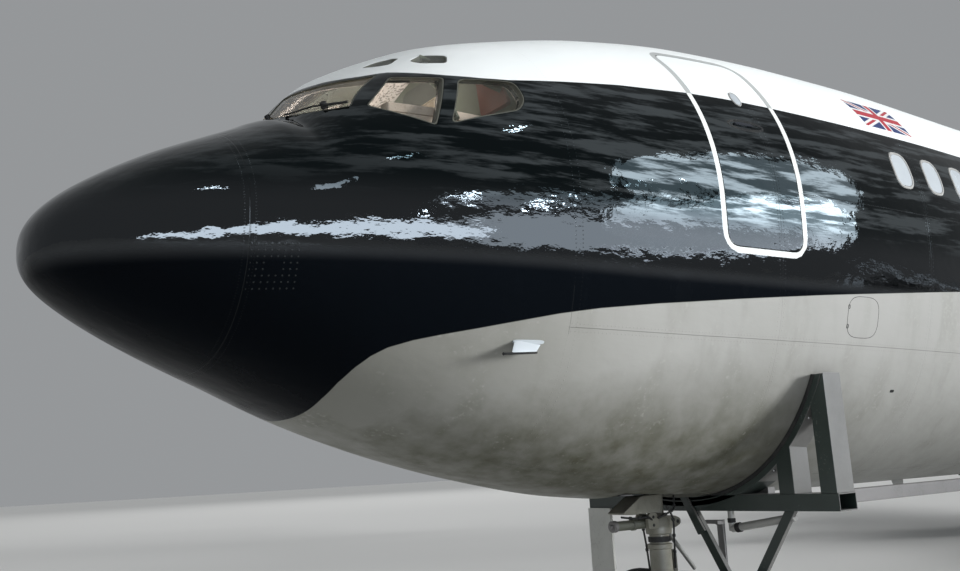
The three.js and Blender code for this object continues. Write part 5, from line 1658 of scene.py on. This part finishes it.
def build_main_leg(x, y, axle, side, hand):
    """Cylinder, truck beam with its end blocks and pivot block, side brace, piston and plate of one leg."""
    base, e = MAIN_GEAR["base"], TRUCK_END
    corners = ((-e, -e), (e, -e), (e, e), (-e, e))
    ends = [prism(rounded([(x + way * base + u, axle + v) for u, v in corners], 0.06), "xz", y - e, y + e)
            for way in (-1, 1)]
    block = [(x - 0.13, axle - 0.14), (x + 0.13, axle - 0.14), (x + 0.13, axle + 0.1),
             (x + 0.1, axle + 0.2), (x - 0.1, axle + 0.2), (x - 0.13, axle + 0.1)]
    leg = merge(
        turned(MAIN_CYLINDER, (x, y, -2.95), (0, 0, 1), 44),
        swept([(x - base, y, axle), (x + base, y, axle)], 0.098, 28),
        prism(rounded(block, 0.04), "xz", y - 0.165, y + 0.165),
        rod((x, y, -2.5), (x, y - side * 1.75, -1.7), 0.068, 24),
        rod((x - 0.1, y - side * 0.16, -2.43), (x + 0.1, y - side * 0.16, -2.43), 0.06, 20), *ends)
    place(f"main_leg_{hand}_casting", leg, gear_paint, replaces=[f"main_leg_{hand}"], bevel=0.006)
    place(f"main_piston_{hand}", rod((x, y, axle + 0.1), (x, y, -2.9), 0.105, 36), bright_steel)
    plan = [(x - 0.36, -2.6), (x + 0.3, -2.6), (x + 0.3, -1.42), (x - 0.36, -1.36)]
    out = sorted((y + side * 0.17, y + side * 0.2))
    place(f"leg_fairing_{hand}", prism(rounded(plan, 0.06), "xz", *out), wing_metal, slot="gear_steel",
          bevel=0.006)


def build_main_links(x, y, axle, side, hand):
    """Torque links ahead of one main leg, and the hydraulic pipes behind it."""
    middle = np.array([x - 0.36, y, (-2.75 + axle) / 2 + 0.1])
    links = [beam(start + [0, e * 0.07, 0], middle + [0, e * 0.03, 0], 0.03, 0.07, (0, 1, 0))
             for start in (np.array([x - 0.12, y, -2.8]), np.array([x - 0.1, y, axle + 0.14]))
             for e in (-1, 1)]
    links.append(rod(middle - [0, 0.06, 0], middle + [0, 0.06, 0], 0.03, 16))
    place(f"main_torque_links_{hand}", links, gear_paint, bevel=0.004)
    inner = [(x + 0.16, y - side * 0.05, -1.7), (x + 0.165, y - side * 0.06, -2.3),
             (x + 0.17, y - side * 0.06, -2.85), (x + 0.26, y - side * 0.1, -3.1),
             (x + 0.2, y - side * 0.14, -3.34)]
    outer = [(x + 0.12, y + side * 0.1, -1.7), (x + 0.13, y + side * 0.1, -2.7),
             (x + 0.2, y + side * 0.12, -3.05), (x + 0.5, y + side * 0.12, axle + 0.1)]
    pipes = piping([eased(inner, 30), eased(outer, 30)], 0.014, 5, 0.021)
    place(f"main_leg_pipes_{hand}", pipes, dark_gap, slot="gear_steel")


def build_main_gear():
    """Both main legs, each with two twin wheels, one ahead of the other."""
    g = MAIN_GEAR
    x, axle = g["x"], GROUND + g["tyre"]
    for side, hand in SIDES:
        y = side * g["y"]
        for way, where in ((-1, "front"), (1, "rear")):
            node = f"main_wheels_{where}_{hand}"
            build_wheels(node, (x + way * g["base"], y, axle), g, f"{node}_unit", node)
        build_main_leg(x, y, axle, side, hand)
        build_main_links(x, y, axle, side, hand)


# Cradle

CRADLE_FRAMES = (5.814, 14.0)
DEPTH, WIDTH, HEIGHT = 0.24, 0.15, 0.14
POST, INNER_POST, BEAM, REACH = 1.535, 1.14, -2.5, 1.62
BRACE_AHEAD = 0.05
PAD = 0.035
PLATE = 0.05
STRIP_TOP = -1.46
FEET = {"knee": 0.55, "inner": 0.06, "y": 0.72, "meet": -3.4}
# Rails: side and distance from the middle; the ties' ends: distance from the middle and height
RAILS = {-1: 1.555, 1: 1.2}
RAIL_HALF, RAIL_LOW, RAIL_HIGH = 0.053, -2.515, -2.408
TIE_ENDS = ((0.476, -2.725), (1.141, -2.623))
SOLE, SOLE_THICKNESS = 0.2, 0.03


def belly_strip(x0, x1, inner, outer):
    """A strip that follows the belly between two standoffs, from one side up to the other."""
    def edge(x, out):
        angle = np.linspace(np.pi / 2, 3 * np.pi / 2, 400)
        p = skin(np.full_like(angle, x), angle, -out)
        return even_steps(p[p[:, 2] < STRIP_TOP], 90)
    return tube_of(np.stack([edge(x0, inner), edge(x1, inner), edge(x1, outer), edge(x0, outer)], 1))


def post(x, y):
    """A flat tube standing on the beam whose top is cut along the bent plate above it."""
    foot, out = BEAM + HEIGHT / 2, PAD + PLATE - 0.002
    rings = []
    for a, b in ((-1, -1), (1, -1), (1, 1), (-1, 1)):
        u, v = x + a * DEPTH / 2, y + b * WIDTH / 2
        rings.append([(u, v, foot), (u, v, min(belly_height(u, v, out), STRIP_TOP - 0.004))])
    return tube_of(np.array(rings).transpose(1, 0, 2))


def belly_height(x, y, out):
    """Height of the lower skin, stood off, at a distance and a place across; past the widest it is level."""
    angle = np.linspace(np.pi / 2, np.pi, 500)
    p = skin(np.full_like(angle, x), angle, -out)
    return float(np.interp(-abs(y), -p[:, 1], p[:, 2])) if abs(y) < p[:, 1].max() else float(p[0, 2])


def open_tube(x, y0, y1, z):
    """A flat tube along y: a loop of four rings, outer and inner, so that its ends are open."""
    corners = np.array([(-1, -1), (1, -1), (1, 1), (-1, 1)])
    rings = [[(x + a * (DEPTH / 2 - wall), y, z + b * (HEIGHT / 2 - wall)) for a, b in corners]
             for y, wall in ((y0, 0), (y1, 0), (y1, 0.009), (y0, 0.009))]
    rings = np.array(rings).reshape(4, 4, 3)
    return rings.reshape(-1, 3), grid_faces(4, 4, close_rows=True, close_columns=True)


def place_frame(name, shape, finish, **rest):
    """A painted frame whose faces that look to either side, or up, are marked as the pale ones, for painted
    light.
    """
    obj = place(name, shape, finish, smooth=20, **rest)
    mesh = obj.data
    normals = np.zeros(len(mesh.polygons) * 3)
    mesh.polygons.foreach_get("normal", normals)
    normals = normals.reshape(-1, 3)
    # Painted light: faces that look to either side or up are marked to take the pale grey.
    pale = (np.abs(normals[:, 1]) > 0.5) | (normals[:, 2] > 0.7)
    layer = mesh.attributes.new("pale", "FLOAT", "FACE")
    layer.data.foreach_set("value", pale.astype(np.float32))
    return obj


def braced_leg(x, face, side):
    """One short leg under a beam: two braces that meet at a knee, the foot, its plate and a gusset."""
    knee = np.array([x, side * FEET["knee"], FEET["meet"]])
    foot = np.array([x, side * FEET["y"], GROUND + 0.02])
    braces = [beam((x - 0.02, side * y, BEAM - 0.05), knee - [0.02, 0, 0], 0.05, 0.084, (0, 1, 0))
              for y in (INNER_POST, FEET["inner"])]
    gusset = [(side * v, w) for v, w in ((-0.02, -2.44), (0.06, -2.44), (0.24, -2.74), (0.16, -2.78))]
    y = side * FEET["y"]
    sole = box((x - SOLE, y - 0.25, GROUND), (x + SOLE, y + 0.25, GROUND + SOLE_THICKNESS))
    return [*braces, beam(knee + [0, 0, 0.05], foot, 0.086, 0.086, (1, 0, 0)), sole,
            prism(gusset, "yz", face - 0.03, face - 0.001)]


def tie_rods(x, side):
    """A sloping tie and the short one that hangs it from the beam, and the couplings on both."""
    inner, outer = [np.array([x, side * y, z]) for y, z in TIE_ENDS]
    along = (outer - inner) / np.linalg.norm(outer - inner)
    ties = [rod(inner, outer, 0.034, 28),
            rod(inner + [0, 0, -0.02], inner + [0, 0, BEAM - HEIGHT / 2 - TIE_ENDS[0][1] + 0.02], 0.03, 20)]
    couplings = [rod(inner + along * 0.05, inner + along * 0.1, 0.042, 24),
                 rod(inner + [0, 0, 0.05], inner + [0, 0, 0.09], 0.036, 24)]
    return ties, couplings


def build_rails():
    """Two rails between the frames, with the small plates and the hook at the front one."""
    near, far = CRADLE_FRAMES[0] + DEPTH / 2, CRADLE_FRAMES[1] - DEPTH / 2
    rails = [box((near, s * y - RAIL_HALF, RAIL_LOW), (far, s * y + RAIL_HALF, RAIL_HIGH))
             for s, y in RAILS.items()]
    plates = [box((near, -0.77, -2.475), (near + 0.1, -0.62, -2.38)),
              box((6.0, -0.17, -2.71), (6.03, 0.1, -2.675)),
              box((6.0, -0.17, -3.1), (6.03, -0.1, -2.675)), box((near, -0.17, -2.71), (6.03, -0.14, -2.675))]
    place("cradle_rails", rails + plates, pale_steel, slot="cradle_paint", bevel=0.006)


def build_cradle_bolts():
    """Heads in pairs along both bent plates."""
    heads = []
    for x in CRADLE_FRAMES:
        for y in (-1.4, -1.0, -0.62, 0.62, 1.0, 1.4):
            for u in (x - 0.07, x + 0.07):
                z = belly_height(u, y, PAD + PLATE)
                heads.append(rod((u, y, z - 0.014), (u, y, z + 0.01), 0.014, 8))
    place("cradle_bolts", heads, bright_steel, slot="cradle_paint")


def build_cradle():
    """Two welded frames under the belly: bent plate, posts, beam, braces, ties and feet, joined by rails.
    The front frame's right half stands on one flat board instead."""
    pieces, ties, board, couplings = [], [], [], []
    for station, node in zip(CRADLE_FRAMES, ("cradle_pad_front", "cradle_pad_rear")):
        front = station == CRADLE_FRAMES[0]
        x0, x1, x = station - DEPTH / 2, station + DEPTH / 2, station - BRACE_AHEAD
        place(f"{node}_strip", belly_strip(x0, x1, 0.002, PAD), pad_rubber, replaces=[node], bevel=0.004)
        pieces.append(belly_strip(x0, x1, PAD + 0.001, PAD + PLATE))
        pieces.append(open_tube(station, -REACH, 1.29 if front else REACH, BEAM))
        for side in (-1, 1):
            pieces.append(post(station, side * INNER_POST))
            if front and side > 0:
                board.append(box((x0 - 0.03, 0.96, GROUND), (x0, 1.285, -2.545)))
                board.append(box((x - SOLE, 0.87, GROUND), (x + SOLE, 1.37, GROUND + SOLE_THICKNESS)))
                continue
            pieces.append(post(station, side * POST))
            pieces += braced_leg(x, x0, side)
            more_ties, more_couplings = tie_rods(x, side)
            ties += more_ties
            couplings += more_couplings
    place_frame("cradle_frames", pieces, cradle_green, replaces=["cradle"], bevel=0.004)
    place("cradle_ties", ties, grey_paint, slot="cradle_paint")
    place("tie_couplings", couplings, dark_gap, slot="cradle_paint")
    place("cradle_board", board, board_grey, slot="cradle_paint", bevel=0.004)
    build_rails()
    build_cradle_bolts()


# Camera, floor and light

CAMERA = {"place": (-1.0011, -6.0367, -2.1072), "yaw": 0.6379, "pitch": 0.1972, "roll": -0.0527, "lens": 34.7}


def build_camera():
    """The photo's camera: its place, yaw, pitch, roll and lens as they were fitted."""
    yaw, pitch, roll = CAMERA["yaw"], CAMERA["pitch"], CAMERA["roll"]
    forward = Vector((math.sin(yaw) * math.cos(pitch), math.cos(yaw) * math.cos(pitch), math.sin(pitch)))
    right = Vector((math.cos(yaw), -math.sin(yaw), 0))
    up = right.cross(forward)
    right, up = (math.cos(roll) * right + math.sin(roll) * up, -math.sin(roll) * right + math.cos(roll) * up)
    data = bpy.data.cameras.new("camera")
    data.sensor_width = 36
    data.lens = CAMERA["lens"]
    data.clip_end = 500
    camera = bpy.data.objects.new("camera", data)
    bpy.context.scene.collection.objects.link(camera)
    turn = Matrix((right, up, -forward)).transposed()
    camera.matrix_world = Matrix.Translation(Vector(to_model(CAMERA["place"]))) @ turn.to_4x4()
    bpy.context.scene.camera = camera


def aimed(name, data, spot, target, roll=0.0):
    """An object that carries a lamp and looks at a target."""
    lamp = bpy.data.objects.new(name, data)
    bpy.context.scene.collection.objects.link(lamp)
    aim = Vector(target) - Vector(spot)
    turn = Matrix.Rotation(roll, 3, aim.normalized())
    lamp.location = spot
    lamp.rotation_euler = (turn @ aim.to_track_quat("-Z", "Y").to_matrix()).to_euler()
    return lamp


def area_light(name, spot, target, size, power, roll=0.0, color=(1, 1, 1), shines=True, mirrored=True,
               shape="RECTANGLE"):
    """A lamp; one that doesn't shine only shows in gloss, and one not mirrored shows in none."""
    data = bpy.data.lights.new(name, "AREA")
    data.shape = shape
    data.size, data.size_y = size
    data.energy = power
    data.color = color
    lamp = aimed(name, data, spot, target, roll)
    lamp.visible_diffuse, lamp.visible_glossy = shines, mirrored
    return lamp


# Bright shapes beyond the left side that only show in the gloss: name, place, size, power and roll
MIRRORED = [
    ("strip", (-17.5, 2.3), (24, 1.8), 1180, -0.08), ("strip_core", (-14.5, 2.5), (11, 1.3), 420, -0.09),
    ("panel", (-2.5, 3.6), (15, 2.5), 320, -0.1), ("panel_top", (-3.6, 5.9), (10, 1.1), 60, -0.05),
    ("panel_low", (0.6, 2.9), (6, 0.6), 60, -0.1), ("door_panel", (3.4, 5.2), (7.5, 3.6), 520, -0.2),
    ("door_haze", (5.2, 9.6), (9, 7.5), 420, -0.4), ("door_core", (4.4, 4.8), (3.4, 2.2), 560, -0.2),
]

# Small tubes that show as bright dashes: middle, length, height, roll
TUBES = [
    ((-10.0, -9.4, 10.2), 0.8, 0.05, 0.1), ((-6.0, -7.4, 11.1), 0.7, 0.05, 0.1),
    ((-7.83, -11.9, 5.16), 1.0, 0.07, 0.1), ((-9.2, -12.35, 4.24), 0.2, 0.12, 0),
    ((-5.1, -11.2, 4.75), 0.4, 0.16, 0), ((-4.6, -10.95, 4.86), 0.3, 0.22, 0),
    ((-3.93, -10.64, 4.86), 0.26, 0.14, 0), ((-2.57, -9.45, 6.0), 0.4, 0.05, 0),
    ((-16.8, -6.14, 10.75), 1.7, 0.05, 0.3),
]


FLOOR_HALF = 90
KEY_POWER, KEY_ANGLE = 5.7, 0.26
MIRROR_COLOR = (0.84, 0.92, 1.0)
TUBE_POWER = 260


def build_floor():
    """A pale, matt floor, far wider than the model."""
    mesh = bpy.data.meshes.new("floor")
    corners = [(-FLOOR_HALF, -FLOOR_HALF, 0), (FLOOR_HALF, -FLOOR_HALF, 0), (FLOOR_HALF, FLOOR_HALF, 0),
               (-FLOOR_HALF, FLOOR_HALF, 0)]
    mesh.from_pydata(corners, [], [(0, 1, 2, 3)])
    floor = bpy.data.objects.new("floor", mesh)
    bpy.context.scene.collection.objects.link(floor)
    mesh.materials.append(Finish("floor_paint", None, base_color=(0.7, 0.7, 0.685), roughness=0.7).material)


def build_studio():
    """An even grey world; white stays white in the plain view."""
    bpy.context.scene.view_settings.view_transform = "Standard"
    world = bpy.data.worlds.new("studio")
    world.use_nodes = True
    background = world.node_tree.nodes["Background"]
    background.inputs[0].default_value = (0.3, 0.31, 0.32, 1)
    background.inputs[1].default_value = 1.0
    bpy.context.scene.world = world


def build_lamps():
    """A low sun from behind on the left as the key, wide lamps overhead, in front and behind, and a small
    one in the cabin."""
    sun = bpy.data.lights.new("key", "SUN")
    sun.energy, sun.angle = KEY_POWER, KEY_ANGLE
    aimed("key", sun, (56, -48, 11.6), (-6, 0, 2)).visible_glossy = False
    area_light("overhead", (-4, 2, 14), (-9, 0, 2.5), (14, 8), 430, mirrored=False)
    area_light("front", (-17, -2, 10), (-9.8, 0, 3), (5, 4), 180, mirrored=False)
    area_light("back", (12, 34, 24), (2, 0, 2), (30, 12), 3200, mirrored=False)
    cabin = area_light("cabin", to_model((2.3, 0, 0.05)), to_model((2.3, 0, 2)), (0.5, 0.3), 8,
                       color=(1, 0.95, 0.9), mirrored=False)
    cabin.visible_camera = False


def build_mirrored():
    """The long strip, panels and tubes beyond the left side that only show in the gloss."""
    show = {"shines": False, "color": MIRROR_COLOR}
    for name, (x, z), size, power, roll in MIRRORED:
        area_light(name, (x, -14, z), (x, 0, z), size, power, roll=roll, shape="ELLIPSE", **show)
    area_light("cloud", (-12.9, -10.4, 8.5), (-12, 0, 2), (0.9, 1.4), 16, roll=0.5, shape="ELLIPSE", **show)
    for number, (spot, length, high, roll) in enumerate(TUBES):
        area_light(f"tube_{number}", spot, (-10.5, -0.5, 2.2), (length, high), TUBE_POWER * length * high,
                   roll=roll, **show)


def build_stage():
    """Floor, studio, lamps and what shows in the gloss."""
    build_floor()
    build_studio()
    build_lamps()
    build_mirrored()


build_camera()
build_stage()
build_fuselage()
build_cockpit_windows()
build_cabin_windows()
build_skin_details()
build_wipers()
build_cockpit()
build_wings_and_tail()
for engine in PODS:
    build_engine(engine)
    build_pylon(engine)
build_nose_gear()
build_main_gear()
build_cradle()
